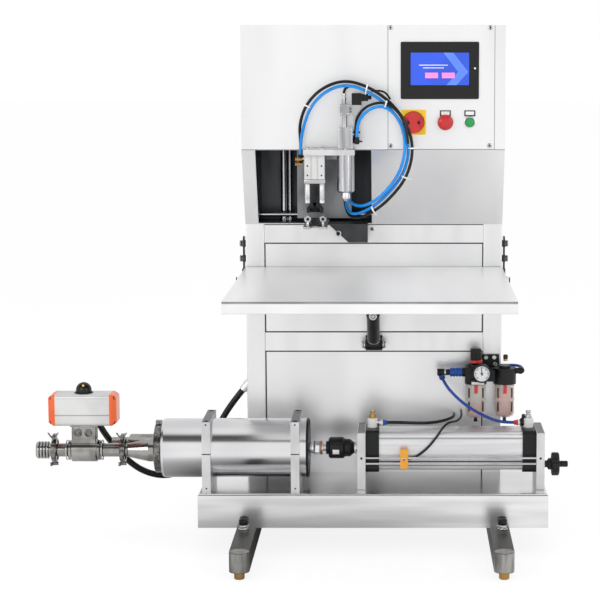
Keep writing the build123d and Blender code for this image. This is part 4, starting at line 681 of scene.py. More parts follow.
@dataclass(frozen=True)
class Column(Assembly):
    """Painted shadow in the joints between the column's sheets and tubes, its bolts and the floor beams' ends."""

    half: float = 340.0
    post: float = 50.0
    joint: float = 2.6
    bays: tuple[tuple[float, float], ...] = ((158, 490), (539, 687), (689, 780))
    levels: tuple[float, ...] = (486.6, 538.9, 776.6)
    level_joint: float = 3.4
    setback: tuple[float, float] = (1.1, 2.1)
    head_bottom: float = 829.0
    beam_x: float = 325.0
    beam_top: float = 69.0
    bolt_y: float = -263.0
    nose_y: float = -504.0
    rail_bolt_seat: Point = (-3.5, 1.0, 816.0)

    def joints(self) -> None:
        """Lay painted shadow lines into the joints of the sheets' setback."""
        inner, z = self.half - self.post, self.head_bottom
        front, back = self.setback
        lines = Shape().block((-inner, 0.3, z - 2.2), (inner, front, z - 0.2), 0.2, 1)
        for low, high in self.bays:
            for x in (-inner, inner - self.joint):
                lines.block((x, front, low), (x + self.joint, back, high), 0.2, 1)
        for low in self.levels:
            lines.block((-inner, front, low), (inner, back, low + self.level_joint), 0.2, 1)
        lines.done("column_joint_shadows", GAP_SHADE)

    def rail_bolt(self) -> None:
        """Set the bolt in the upper rail, below the bent bracket."""
        x, y, z = self.rail_bolt_seat
        Shape().screw((x, y, z), FRONT, 6.0, 3.0).done("rail_bolt", NICKEL)
        # Painted shade: a dark cap stands in the bolt's socket.
        Shape().sockets(((x, y - 2.2, z),), FRONT, 2.6).done("rail_bolt_socket_shade", GAP_SHADE)

    def beam_bolts(self) -> None:
        """Stand a knurled cap screw with its washer and nut on each beam, in front of the tray."""
        heads, nuts = Shape(), Shape()
        y, z = self.bolt_y, self.beam_top
        for x in (-self.beam_x - 7, self.beam_x + 7):
            nuts.rod((x, y, z), (x, y, z + 3), 12.5, bevel=0.6)
            nuts.rod((x, y, z + 3), (x, y, z + 12), 10.5, sides=6, bevel=1.0)
            heads.rod((x, y, z + 12), (x, y, z + 26), 11.5, sides=40, bevel=1.2)
            heads.band((x, y, z + 13), UP, 9.0, 12.3, 2.4).screw((x, y, z + 26), UP, 9.0, 2.0)
        nuts.done("beam_bolt_nuts", NICKEL)
        heads.done("beam_bolt_heads", BLACKENED)

    def noses(self) -> None:
        """Wrap the ground half-round noses of the floor beams."""
        shells = Shape()
        profile = [(0, 0), (0, 24.0), (1.2, 25.25), (48.8, 25.25), (50.2, 24.0), (50.2, 0)]
        for x in (-self.beam_x, self.beam_x):
            shells.turned(profile, (x, self.nose_y + 25, 19), UP)
        shells.done("beam_noses", NOSE)


@dataclass(frozen=True)
class Head(Assembly):
    """Painted shade lines on the head's sheets, the control plate's screws and the works in the mouth."""

    front: float = -100.0
    slope_top: float = 1031.0
    half: float = 340.0
    top: float = 1350.0
    plate_left: float = 39.0
    plate_right: float = 312.0
    plate_screws: tuple[tuple[float, float], ...] = ((45.0, 1343.5), (300.9, 1343.5), (45.0, 1041.5), (300.4, 1042.0))
    eyes_x: tuple[float, float] = (-166.0, -127.5)
    eyes_y: float = -177.0
    eyes_z: float = 858.5

    def lines(self) -> None:
        """Draw painted shade along the fold above the slope, and painted shadow round the control plate."""
        y0, y1, z, edge = self.front - 0.35, self.front + 0.2, self.slope_top, 1.1
        left, right = self.plate_left, self.plate_right
        fold = Shape().block((-self.half, y0, z - 0.6), (left - 1, y1, z + 0.9), 0.15, 1)
        fold.block((right + 1, y0, z - 0.6), (self.half, y1, z + 0.9), 0.15, 1).done("head_fold_shade", FOLD_SHADE)
        y0 -= 0.6
        shadow = Shape()
        for x in (left - edge, right):
            shadow.block((x, y0, z), (x + edge, y1, self.top - 1), 0.15, 1)
        shadow.block((left - edge, y0, z + 0.6), (right + edge, y1, z + 2.0), 0.15, 1)
        shadow.done("control_plate_shadow", GAP_SHADE)

    def screws(self) -> None:
        """Set the four screws of the control plate."""
        heads, y = Shape(), self.front - 2
        for x, z in self.plate_screws:
            heads.screw((x, y, z), FRONT, 5.2, 2.4).band((x, y - 0.4, z), FRONT, 4.6, 6.4, 0.8)
        heads.done("control_plate_screws", NICKEL)
        # Painted shade: dark caps stand in the screws' sockets.
        seats = tuple((x, y - 1.0, z) for x, z in self.plate_screws)
        Shape().sockets(seats, FRONT, 2.7).done("control_plate_socket_shade", GAP_SHADE)

    def eyes(self) -> None:
        """Set the two chromed guide eyes on the fork, with their dark holder."""
        rings = Shape()
        (left, right), y, z = self.eyes_x, self.eyes_y, self.eyes_z
        profile = [(-4, 4.0), (-4, 7.8), (-2.5, 9.3), (2.5, 9.3), (4, 7.8), (4, 4.0), (-4, 4.0)]
        for x in (left, right):
            rings.rod((x, y, 838.8), (x, y, 851), 4.0, bevel=0.6).turned(profile, (x, y, z), FRONT, 32)
        rings.done("guide_eyes", TURNED)
        holder = Shape().block((-157.5, y - 4, 846), (-136, y + 4, 862), 1.5)
        holder.block((-164, y - 3, 840.5), (-130, y + 3, 847), 1.0).rod((left, y, z), (right, y, z), 2.4)
        holder.done("eye_holder", BLACKENED)


@dataclass(frozen=True)
class Controls(Assembly):
    """Screen, keys and marks of the control plate's fittings."""

    face: float = -102.0
    screen_low: tuple[float, float] = (94.5, 1195.0)
    screen_high: tuple[float, float] = (248.5, 1282.0)
    switch: tuple[float, float] = (104.0, 1102.0)
    stop_x: float = 186.0
    start_x: float = 249.0
    row_z: float = 1102.0
    switch_depth: float = 3.3
    knob_height: float = 24.0
    keys: tuple[float, ...] = (133.9, 176.7)
    bars: tuple[tuple[float, float, float], ...] = ((118.0, 74.0, 1247.0), (128.0, 54.0, 1240.0))

    def screen(self) -> None:
        """Fill the screen's well: rim, blue field, a paler slanting band and two keys."""
        (x0, z0), (x1, z1) = self.screen_low, self.screen_high
        y = self.face - 4.5
        rim, band, keys, bars = Shape(), Shape(), Shape(), Shape()
        for left, low, right, high in (
            (x0, z0, x1, z0 + 2), (x0, z1 - 2, x1, z1), (x0, z0, x0 + 2, z1), (x1 - 2, z0, x1, z1),
        ):
            rim.block((left, y - 0.5, low), (right, y + 0.1, high), 0.15, 1)
        rim.done("screen_rim", BLACK_ABS)
        field = Shape().block((x0 + 2, y - 0.35, z0 + 2), (x1 - 2, y + 0.1, z1 - 2), 0.1, 1)
        field.done("screen_field", SCREEN_BLUE)
        band.block((x1 - 60, y - 0.45, z0 + 2.2), (x1 - 34, y - 0.3, z0 + 36), lean=30.0)
        band.block((x1 - 30, y - 0.45, z0 + 36), (x1 - 4.5, y - 0.3, z1 - 2.2), lean=-38.0)
        band.done("screen_band", SCREEN_PALE)
        for left in self.keys:
            keys.block((left, y - 0.8, 1214.8), (left + 33, y - 0.3, 1228.9), 0.25, 1)
        keys.done("screen_keys", SCREEN_PINK)
        for left, width, low in self.bars:
            bars.block((left, y - 0.7, low), (left + width, y - 0.3, low + 2.2), 0.2, 1)
        bars.done("screen_bars", LABEL)

    def lamp(self) -> None:
        """Set the small lamp beside the screen."""
        profile = [(0, 0), (0, 2.6), (0.6, 2.4), (0.9, 1.2), (1.0, 0)]
        Shape().turned(profile, (261.5, self.face - 6, 1240.0), FRONT, 20).done("panel_lamp", LABEL)

    def switch_marks(self) -> None:
        """Set the two dark squares into the main switch's knob."""
        (x, z), plate = self.switch, self.face - self.switch_depth
        y = plate - self.knob_height
        grip = Shape()
        for middle in (x - 13.0, x + 13.0):
            grip.block((middle - 3.2, y - 0.5, z - 3.6), (middle + 3.2, y + 1.0, z + 3.6), 0.6)
        grip.done("switch_marks", BLACK_NYLON, Body.MAIN_SWITCH)
        Shape().band((x, plate, z), FRONT, 26.4, 28.4, 1.2).done("switch_ring", BLACK_NYLON)

    def labels(self) -> None:
        """Lay a blank white label in each holder."""
        cards, y, z = Shape(), self.face, self.row_z + 23.0
        for x in (self.stop_x, self.start_x):
            cards.block((x - 11.0, y - 2.2, z - 4.5), (x + 11.0, y - 1.4, z + 6.8), 0.2, 1)
        cards.done("button_labels", LABEL)

    def start_ring(self) -> None:
        """Put the chromed ring round the start button."""
        profile = [(0, 11.7), (0, 15.6), (3.5, 15.6), (5.4, 14.4), (5.6, 12.6), (5.0, 11.7), (0, 11.7)]
        seat = (self.start_x, self.face, self.row_z)
        Shape().turned(profile, seat, FRONT).done("start_button_ring", CHROME)


@dataclass(frozen=True)
class FillingCarriage(Assembly):
    """Cap lifter in its own finishes, and the carriage's screws, fittings and hose ties."""

    plate_top: float = 1036.0
    fill_y: float = -155.0
    lifter_x: float = -148.5
    lifter_top: float = 959.7
    lifter_pitch: float = 36.0
    nozzle_x: float = -69.5
    skin: tuple[float, float] = (-176.4, -45.6)
    ties: tuple[tuple[Point, Point], ...] = (
        ((-166.0, -181.0, 1146.0), (0.42, 0.0, 0.9)), ((-15.0, -185.5, 1191.0), (0.97, 0.0, -0.22)),
        ((33.0, -192.0, 1150.0), (1.0, 0.0, -0.3)), ((99.0, -188.0, 1040.0), (0.0, 0.0, 1.0)),
        ((82.0, -188.0, 966.0), (0.35, 0.0, 0.93)), ((2.0, -178.0, 883.0), (0.85, -0.2, 0.42)),
    )

    def lifter(self) -> None:
        """Build the lifter's plate with its rods, the two stand-offs and the dark claw."""
        x, y, top = self.lifter_x, self.fill_y, self.lifter_top
        plate = Shape().block((x - 27, y - 21, top - 11), (x + 27, y + 21, top), 1.2)
        posts = Shape()
        profile = [
            (0, 0), (0, 6.2), (1.2, 7.5), (9, 7.5), (9.6, 7.0), (10.6, 7.0), (11.2, 7.5), (50, 7.5), (51, 6.8),
            (51, 0),
        ]
        half = self.lifter_pitch / 2
        for at in (x - half, x + half):
            plate.rod((at, y, top), (at, y, top + 52), 6.0, bevel=0.4)
            posts.turned(profile, (at, y - 6, top - 62), UP)
        plate.rod((x, y, top), (x, y, top + 52), 7.0, bevel=0.4)
        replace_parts(plate.done("lifter_plate", GREY_PLATE, Body.LIFTER), "cap_lifter")
        posts.done("lifter_standoffs", MACHINED, Body.LIFTER)
        foot, front, back = top - 86, y - 12, y + 14
        claw = Shape().block((x - 11, front, foot + 24), (x + 11, back, top - 11), 1.5)
        claw.block((x - 20, front, foot + 11), (x - 1, back, foot + 27), 0.8, lean=8.5)
        claw.block((x + 1, front, foot + 11), (x + 20, back, foot + 27), 0.8, lean=-8.5)
        for near, far in ((x - 21, x - 12.5), (x + 12.5, x + 21)):
            claw.block((near, front, foot), (far, back, foot + 13), 1.2)
        claw.block((x - 14, y + 10, foot), (x + 14, back, foot + 13), 1.0)
        claw.done("lifter_claw", BLACKENED, Body.LIFTER)

    def cylinder_hole_shade(self) -> None:
        """Paint shade into the cross holes of the guided cylinder, as dark caps."""
        half, y = self.lifter_pitch / 2, self.fill_y - 19.0
        seats = tuple((x, y, z) for x in (self.lifter_x - half, self.lifter_x + half) for z in (970.0, 994.0))
        Shape().sockets(seats, FRONT, 2.2).done("cylinder_hole_shade", GAP_SHADE, Body.CARRIAGE)

    def plate_screws(self) -> None:
        """Set the bright cap screws on the carriage plate and lay its machined skin."""
        heads, y, top = Shape(), self.fill_y, self.plate_top
        for dx in (-18, 18):
            for dy in (-12, 12):
                heads.screw((self.lifter_x + dx, y + dy, top), UP, 4.6, 4.2)
        for dy in (-27, 27):
            heads.screw((self.nozzle_x, y + dy, top), UP, 4.0, 3.6)
        heads.done("plate_screws", NICKEL, Body.CARRIAGE)
        (left, right), front = self.skin, y - 37.4
        skin = Shape().block((left, front, top - 14.3), (right, y - 34, top + 0.3), 0.3, 1)
        skin.block((left, front, top - 0.3), (right, y + 43, top + 0.3), 0.2, 1)
        skin.done("plate_skin", MACHINED, Body.CARRIAGE)

    def fittings(self) -> None:
        """Cover the cylinder's hose elbows and set the two small brass fittings beside them."""
        elbows, brass = Shape(), Shape()
        x = self.lifter_x - 36.0
        profile = [(-6, 0), (-6, 4.6), (-4, 6.2), (10, 6.2), (12, 6.8), (16, 6.8), (16.6, 4.2)]
        for y in (-160.5, -148.5):
            elbows.turned(profile, (x, y, 1006), UP, 24)
        elbows.rod((x + 1, -154.5, 1012), (x + 12, -154.5, 1012), 6.0, bevel=0.6)
        profile = [(0, 0), (0, 6.4), (4, 6.4), (5, 5.4), (12, 5.4), (13, 6.2), (17, 6.2), (17.6, 4.0)]
        elbows.turned(profile, (-44, -156, 1054), UP, 24)
        elbows.rod((-51, -156, 1060), (-44, -156, 1060), 5.6, bevel=0.6)
        elbows.done("loop_elbows", BLACK_NYLON, Body.CARRIAGE)
        profile = [
            (0, 0), (0, 3.2), (5, 3.2), (5.5, 5.0), (9, 5.0), (9.5, 3.6), (12, 3.6), (12.5, 4.6), (17, 4.4), (17, 0),
        ]
        for z in (998.5, 1010.5):
            brass.turned(profile, (self.lifter_x - 32.0, -171.0, z), LEFT, 24)
        brass.done("brass_fittings", BRASS, Body.CARRIAGE)

    def valve_screws(self) -> None:
        """Set the screws in the faces of the two air valve blocks and of the stroke cylinder."""
        heads = Shape()
        for z in (1126.0, 1146.5):
            for x in (-81.0, -62.0):
                heads.screw((x, -167.0, z), FRONT, 2.4, 1.2)
        for x in (-84.0, -55.0):
            for z in (1041.0, 1087.0):
                heads.screw((x, -174.0, z), FRONT, 2.2, 1.0)
        profile = [(0, 0), (0, 5.9), (3, 5.9), (4, 4.6), (8, 4.6), (9, 6.0), (13, 6.0), (13.5, 4.5)]
        heads.turned(profile, (-73.5, -155, 1164), UP, 24).done("valve_block_screws", NICKEL, Body.CARRIAGE)

    def spout_nipple(self) -> None:
        """Put the bright nipple at the spout's upper end."""
        profile = [(0, 6), (0, 10.6), (2, 11.4), (10, 11.4), (12, 10.6), (14, 10.4), (14, 6), (0, 6)]
        Shape().turned(profile, (self.nozzle_x, self.fill_y, 909.5), UP).done("spout_nipple", CHROME, Body.SPOUT)

    def hose_ties(self) -> None:
        """Pull a white tie round the hoses at each place."""
        bands = Shape()
        for centre, along in self.ties:
            bands.band(centre, along, 9.0, 10.2, 3.8)
            heading = Vector(along).normalized()
            away = Vector((heading.z, 0.0, -heading.x)) * 9.6
            start = Vector(centre) + away
            end = start + away * 0.75
            bands.rod(tuple(start), tuple(end), 1.8, 1.2, sides=8)
        bands.done("hose_ties", WHITE_NYLON, Body.CARRIAGE)


@dataclass(frozen=True)
class Bracket(Assembly):
    """Sensor and screws of the bent bracket under the mouth."""

    sensor: tuple[float, float] = (-92.0, 811.0)
    face_y: float = -62.0

    def sensor_nuts(self) -> None:
        """Add the sensor's nuts and face."""
        (x, z), y = self.sensor, self.face_y
        nuts = Shape()
        for back in (y, y - 9):
            nuts.rod((x, back, z), (x, back - 4, z), 8.5, sides=6, bevel=0.8)
        nuts.band((x, y - 15, z), FRONT, 4.6, 6.2, 4.0).done("sensor_nuts", MACHINED)
        profile = [(0, 4.6), (0.8, 4.4), (1.0, 2.5), (1.0, 0)]
        Shape().turned(profile, (x, y - 18, z), FRONT, 24).done("sensor_face", BLACK_NYLON)


@dataclass(frozen=True)
class BagTable(Assembly):
    """Painted shade on the bag table's fold and rear joint, its bolts and the strut's fittings."""

    half: float = 340.0
    top: float = 716.0
    reach: float = 704.0
    fold: float = 4.0
    foot_y: float = -32.0
    foot_z: float = 512.0
    eye_y: float = -262.0
    eye_z: float = 672.0
    arm_y: float = -159.0
    arm_z: float = 700.0
    bracket_y: float = 19.0
    bracket_z: tuple[float, float] = (736.0, 776.0)

    def lines(self) -> None:
        """Lay painted shade on the front fold and painted shadow in the gap at the rear."""
        x, y, z = self.half - 0.6, -self.reach + self.fold, self.top - self.fold
        Shape().rod((-x, y, z), (x, y, z), self.fold + 0.12, sides=48).done("table_fold_shade", EDGE_SHADE, Body.TABLE)
        x, z = self.half - 2, self.top
        gap = Shape().block((-x, -7.2, z - 0.1), (x, -4.4, z + 0.25), 0.1, 1)
        gap.done("table_rear_shadow", GAP_SHADE, Body.TABLE)

    def arm_bolts(self) -> None:
        """Set the bright bolts of the hinge arms and of the slotted brackets."""
        arms, brackets = Shape(), Shape()
        for side, axis in ((-1, LEFT), (1, RIGHT)):
            y, z = self.arm_y, self.arm_z
            arms.screw((side * (self.half + 9.5), y, z), axis, 7.6, 3.0, Drive.HEX)
            arms.band((side * (self.half + 4.4), y, z), axis, 4.0, 9.5, 1.4)
            for z in self.bracket_z:
                brackets.screw((side * (self.half + 13.0), self.bracket_y, z), axis, 8.4, 4.0, Drive.HEX)
                brackets.band((side * (self.half + 9.0), self.bracket_y, z), axis, 4.0, 10.5, 1.4)
        arms.done("arm_bolts", BLACKENED, Body.TABLE)
        brackets.done("bracket_bolts", TUMBLED)

    def clevis(self) -> None:
        """Blacken the strut's clevis and add the bright T-bolt through it."""
        y, z = self.foot_y, self.foot_z
        cheeks, bolt = Shape(), Shape()
        for x in (-19.0, 19.0):
            cheeks.rod((x - 2.9, y, z), (x + 2.9, y, z), 14.5, bevel=0.5)
            cheeks.block((x - 2.9, y, z - 14.4), (x + 2.9, -4.2, z + 14.4), 0.5)
        cheeks.block((-22.4, -5.2, z - 20.4), (22.4, -3.6, z + 20.4), 0.5)
        cheeks.done("strut_clevis", BLACKENED)
        for side, axis in ((-1, LEFT), (1, RIGHT)):
            bolt.screw((side * 28.0, y, z), axis, 9.0, 4.0, Drive.HEX).band((side * 24.6, y, z), axis, 6.0, 11.2, 5.0)
        bolt.done("strut_foot_bolt", NICKEL)

    def strut(self) -> None:
        """Add the strut tube's end ring, its cross screws and the bright upper eye."""
        low = Vector((0.0, self.foot_y, self.foot_z))
        run = Vector((0.0, self.eye_y - self.foot_y, self.eye_z - self.foot_z)).normalized()
        ring = Shape()
        for along in (176.0, 30.0):
            ring.band(tuple(low + run * along), tuple(run), 16.4, 17.6, 6.0)
        ring.done("strut_rings", BLACKENED, Body.STRUT)
        profile = [(8, 8), (8, 10), (20, 15.5), (32, 17.3), (38, 17.3), (38, 16.2)]
        Shape().turned(profile, tuple(low), tuple(run), 40).done("strut_cone", NICKEL, Body.STRUT)
        eye = Shape().band((0.0, -204.0, 611.5), FRONT, 6.2, 10.2, 4.0)
        eye.screw((0.0, -202.0, 611.5), FRONT, 5.4, 2.6, Drive.HEX).done("strut_eye_bolt", NICKEL, Body.STRUT)
        across = Vector((0.0, -run.z, run.y)) * 16.3
        seat = tuple(low + run * 197.0 - across * 0.98)
        Shape().screw(seat, tuple(-across), 4.2, 2.0).done("strut_screw", NICKEL, Body.STRUT)


@dataclass(frozen=True)
class Pump(Assembly):
    """Sawn block edges, end ring, nuts and seals of the piston pump."""

    y: float = -135.0
    z: float = 255.0
    blocks: tuple[float, float] = (-430.0, -201.0)
    block_half: float = 11.0
    block_front: float = -220.0
    block_back: float = -50.0
    block_top: float = 339.0
    tube_end: float = -168.0
    tube_radius: float = 77.0

    def block_edges(self) -> None:
        """Lay the rough sawn top on each clamp block, with painted shadow in its split line and holes, and its
        screws.
        """
        skins, heads, splits = Shape(), Shape(), Shape()
        front, back, top, half = self.block_front, self.block_back, self.block_top, self.block_half
        reach = self.tube_radius + 1
        for x in self.blocks:
            for low, high in ((front - 0.2, self.y - reach), (self.y + reach, back)):
                splits.block((x - half - 0.1, low, 253.7), (x + half + 0.1, high, 256.3), 0.1, 1)
            splits.sockets(((x, front, top - 7), (x, front, 165.0)), FRONT, 2.3)
            near, far = x - half + 0.4, x + half - 0.4
            skins.block((near, front + 0.4, top - 0.3), (far, back - 0.4, top + 0.3), 0.2, 1)
            for y in (front + 14, back - 14):
                heads.screw((x, y, top + 0.3), UP, 6.0, 1.4)
        skins.done("block_tops", SAWN)
        heads.done("block_screws", BLACKENED)
        splits.done("block_split_shadows", GAP_SHADE)

    def end_ring(self) -> None:
        """Put the dark ring on the open end of the product cylinder."""
        profile = [(-6, 77.05), (-5.4, 77.9), (-0.6, 77.9), (0.4, 77.2), (0.4, 73.4), (-5, 73.2)]
        Shape().turned(profile, (self.tube_end, self.y, self.z), RIGHT, 72).done("cylinder_end_ring", BLACKENED)

    def rod_fittings(self) -> None:
        """Set the copper seal, the two bright nuts and the coupling's bare plate on the piston rod."""
        y, z = self.y, self.z
        profile = [(-139.2, 13.0), (-139.2, 17.6), (-138.4, 18.4), (-135.2, 18.4), (-134.6, 17.6), (-134.6, 10)]
        Shape().turned(profile, (0, y, z), RIGHT).done("copper_seal_ring", COPPER, Body.PUMP)
        nut = Shape().rod((-156, y, z), (-140.6, y, z), 18.0, sides=6, bevel=1.6)
        nut.band((-159.5, y, z), RIGHT, 13.0, 15.6, 6.0).done("rod_locknut", CHROME, Body.PUMP)
        plate = Shape().block((-106.0, y - 28.5, 243), (-89.0, y - 25.5, 255), 0.6)
        plate.done("coupling_plate", MACHINED, Body.PUMP)
        nut = Shape().rod((-48.5, y, z), (-44.5, y, z), 15.8, sides=6, bevel=1.2)
        nut.done("air_rod_nut", CHROME, Body.PUMP)


@dataclass(frozen=True)
class AirCylinder(Assembly):
    """Sawn plate tops, painted shade lines on the barrel, stroke reader and flow controls of the air cylinder."""

    y: float = -135.0
    z: float = 255.0
    plates: tuple[float, float] = (-41.0, 422.0)
    plate_width: float = 21.0
    plate_top: float = 308.0
    plate_reach: tuple[float, float] = (-203.4, -66.6)
    barrel_front: float = -185.0
    barrel_left: float = 15.0
    barrel_right: float = 387.0
    corner_shade: tuple[Point, ...] = ((-0.15, 291.2, 292.1), (0.4, 288.4, 290.0))
    barrel_slot_shadows: tuple[Point, ...] = ((0.4, 227.6, 230.8), (-0.12, 216.5, 218.5), (-0.12, 236.2, 237.4))
    tie_rod: float = 43.12
    reader_screw: Point = (80.0, -208.0, 239.5)
    cable_start: Point = (86.0, -190.0, 238.0)
    trim_y: float = -199.5
    screw_z: float = 226.0
    control_seat: float = 310.0
    control_x: tuple[float, float] = (-2.5, 404.5)
    control_arm: float = 12.0

    def plate_tops(self) -> None:
        """Lay the rough sawn edge on both end plates and paint shade into their front holes."""
        skins, holes = Shape(), Shape()
        (front, back), top, width = self.plate_reach, self.plate_top, self.plate_width
        for x in self.plates:
            skins.block((x + 1.6, front, top - 0.3), (x + width - 1.6, back, top + 0.3), 0.2, 1)
            holes.sockets(((x + width / 2, front - 1.5, 241.0),), FRONT, 3.2)
        skins.done("end_plate_tops", SAWN)
        holes.done("end_plate_hole_shade", GAP_SHADE)

    def barrel_shade_lines(self) -> None:
        """Draw painted shade lines along the barrel's upper corner and painted shadow in its slots."""
        left, right, y = self.barrel_left + 0.5, self.barrel_right - 0.5, self.barrel_front
        for name, finish, rows in (
            ("barrel_shade_lines", EDGE_SHADE, self.corner_shade), ("barrel_slot_shadows", GAP_SHADE, self.barrel_slot_shadows),
        ):
            strips = Shape()
            for depth, low, high in rows:
                strips.block((left, y + depth, low), (right, y + 1.9, high), 0.1, 1)
            strips.done(name, finish)

    def cap_bolts(self) -> None:
        """Set the tie-rod nuts on the faces of the black end caps."""
        nuts, away = Shape(), self.tie_rod
        for x, axis in ((self.barrel_left + 0.2, RIGHT), (self.barrel_right - 0.2, LEFT)):
            for dy, dz in ((-away, away), (away, away), (away, -away)):
                nuts.screw((x, self.y + dy, self.z + dz), axis, 5.5, 4.0, Drive.HEX)
        nuts.done("tie_rod_nuts", NICKEL)

    def reader(self) -> None:
        """Set the screw in the reader block and the cable's gland beside it."""
        x, y, z = self.reader_screw
        Shape().screw((x, y, z), FRONT, 4.2, 2.0).done("reader_screw", NICKEL, Body.READER)
        # Painted shade: a dark cap stands in the screw's socket.
        Shape().sockets(((x, y - 1.0, z),), FRONT, 1.8).done("reader_screw_socket_shade", GAP_SHADE, Body.READER)
        profile = [(0, 5.2), (3, 5.2), (3.6, 4.6), (9, 4.2), (16, 3.4)]
        Shape().turned(profile, self.cable_start, (1.0, 0.0, 0.1), 24).done("reader_cable_gland", BLACK_NYLON)

    def lead_screw(self) -> None:
        """Show the ground lead screw between the plates."""
        seat = (self.plates[0] + self.plate_width + 0.5, self.trim_y, self.screw_z)
        thread = Shape().turned([(0, 3.02), (2, 3.15), (438, 3.15), (441, 3.02)], seat, RIGHT, 24)
        thread.done("lead_screw_thread", GROUND, Body.LEAD_SCREW)

    def _control(self, name: str, x: float, side: int, knob: Finish, collet: Finish) -> None:
        """Dress one flow control: adjusting knob, tube collet and nut.

        Args:
            name: Start of the pieces' names.
            x: Middle of its body.
            side: 1 when its arm points right, -1 when it points left.
            knob: Finish of the adjusting knob.
            collet: Finish of the tube collet.
        """
        z, axis = self.control_seat, RIGHT if side > 0 else LEFT
        arm = z + self.control_arm
        top = [
            (24, 0), (24, 9.6), (27, 9.6), (27.6, 7.8), (34, 7.8), (34.4, 4.9), (37.6, 4.9), (38, 6.4), (39, 7.0),
            (43, 7.0), (44.4, 5.6), (44.4, 0),
        ]
        grip = [(27.2, 4.2), (27.2, 7.6), (31, 7.6), (31.6, 6.2), (37, 6.2), (38, 5.2), (38, 4.2), (27.2, 4.2)]
        nut = [(12, 7.1), (12, 8.4), (14, 9.0), (20, 9.0), (22, 8.2), (22, 7.1), (12, 7.1)]
        for end, finish, profile, height, heading in (
            ("knob", knob, top, z, UP), ("collet", collet, grip, arm, axis),
            ("nut", NICKEL if side > 0 else BLACK_NYLON, nut, arm, axis),
        ):
            Shape().turned(profile, (x, self.y, height), heading, 32).done(f"{name}_{end}", finish)

    def controls(self) -> None:
        """Dress both flow controls, and add the right one's black elbow."""
        (left, right), y = self.control_x, self.y
        self._control("left_control", left, 1, BRASS, BLUE_ACETAL)
        self._control("right_control", right, -1, NICKEL, RED_ABS)
        elbow = Shape().rod((right - 12, y, 322), (right - 22, y, 330), 6.4, 5.6, bevel=0.8)
        elbow.rod((right - 13, y, 324), (right - 13, y, 344), 6.0, 4.2, bevel=0.8)
        elbow.done("right_control_elbow", BLACK_NYLON)


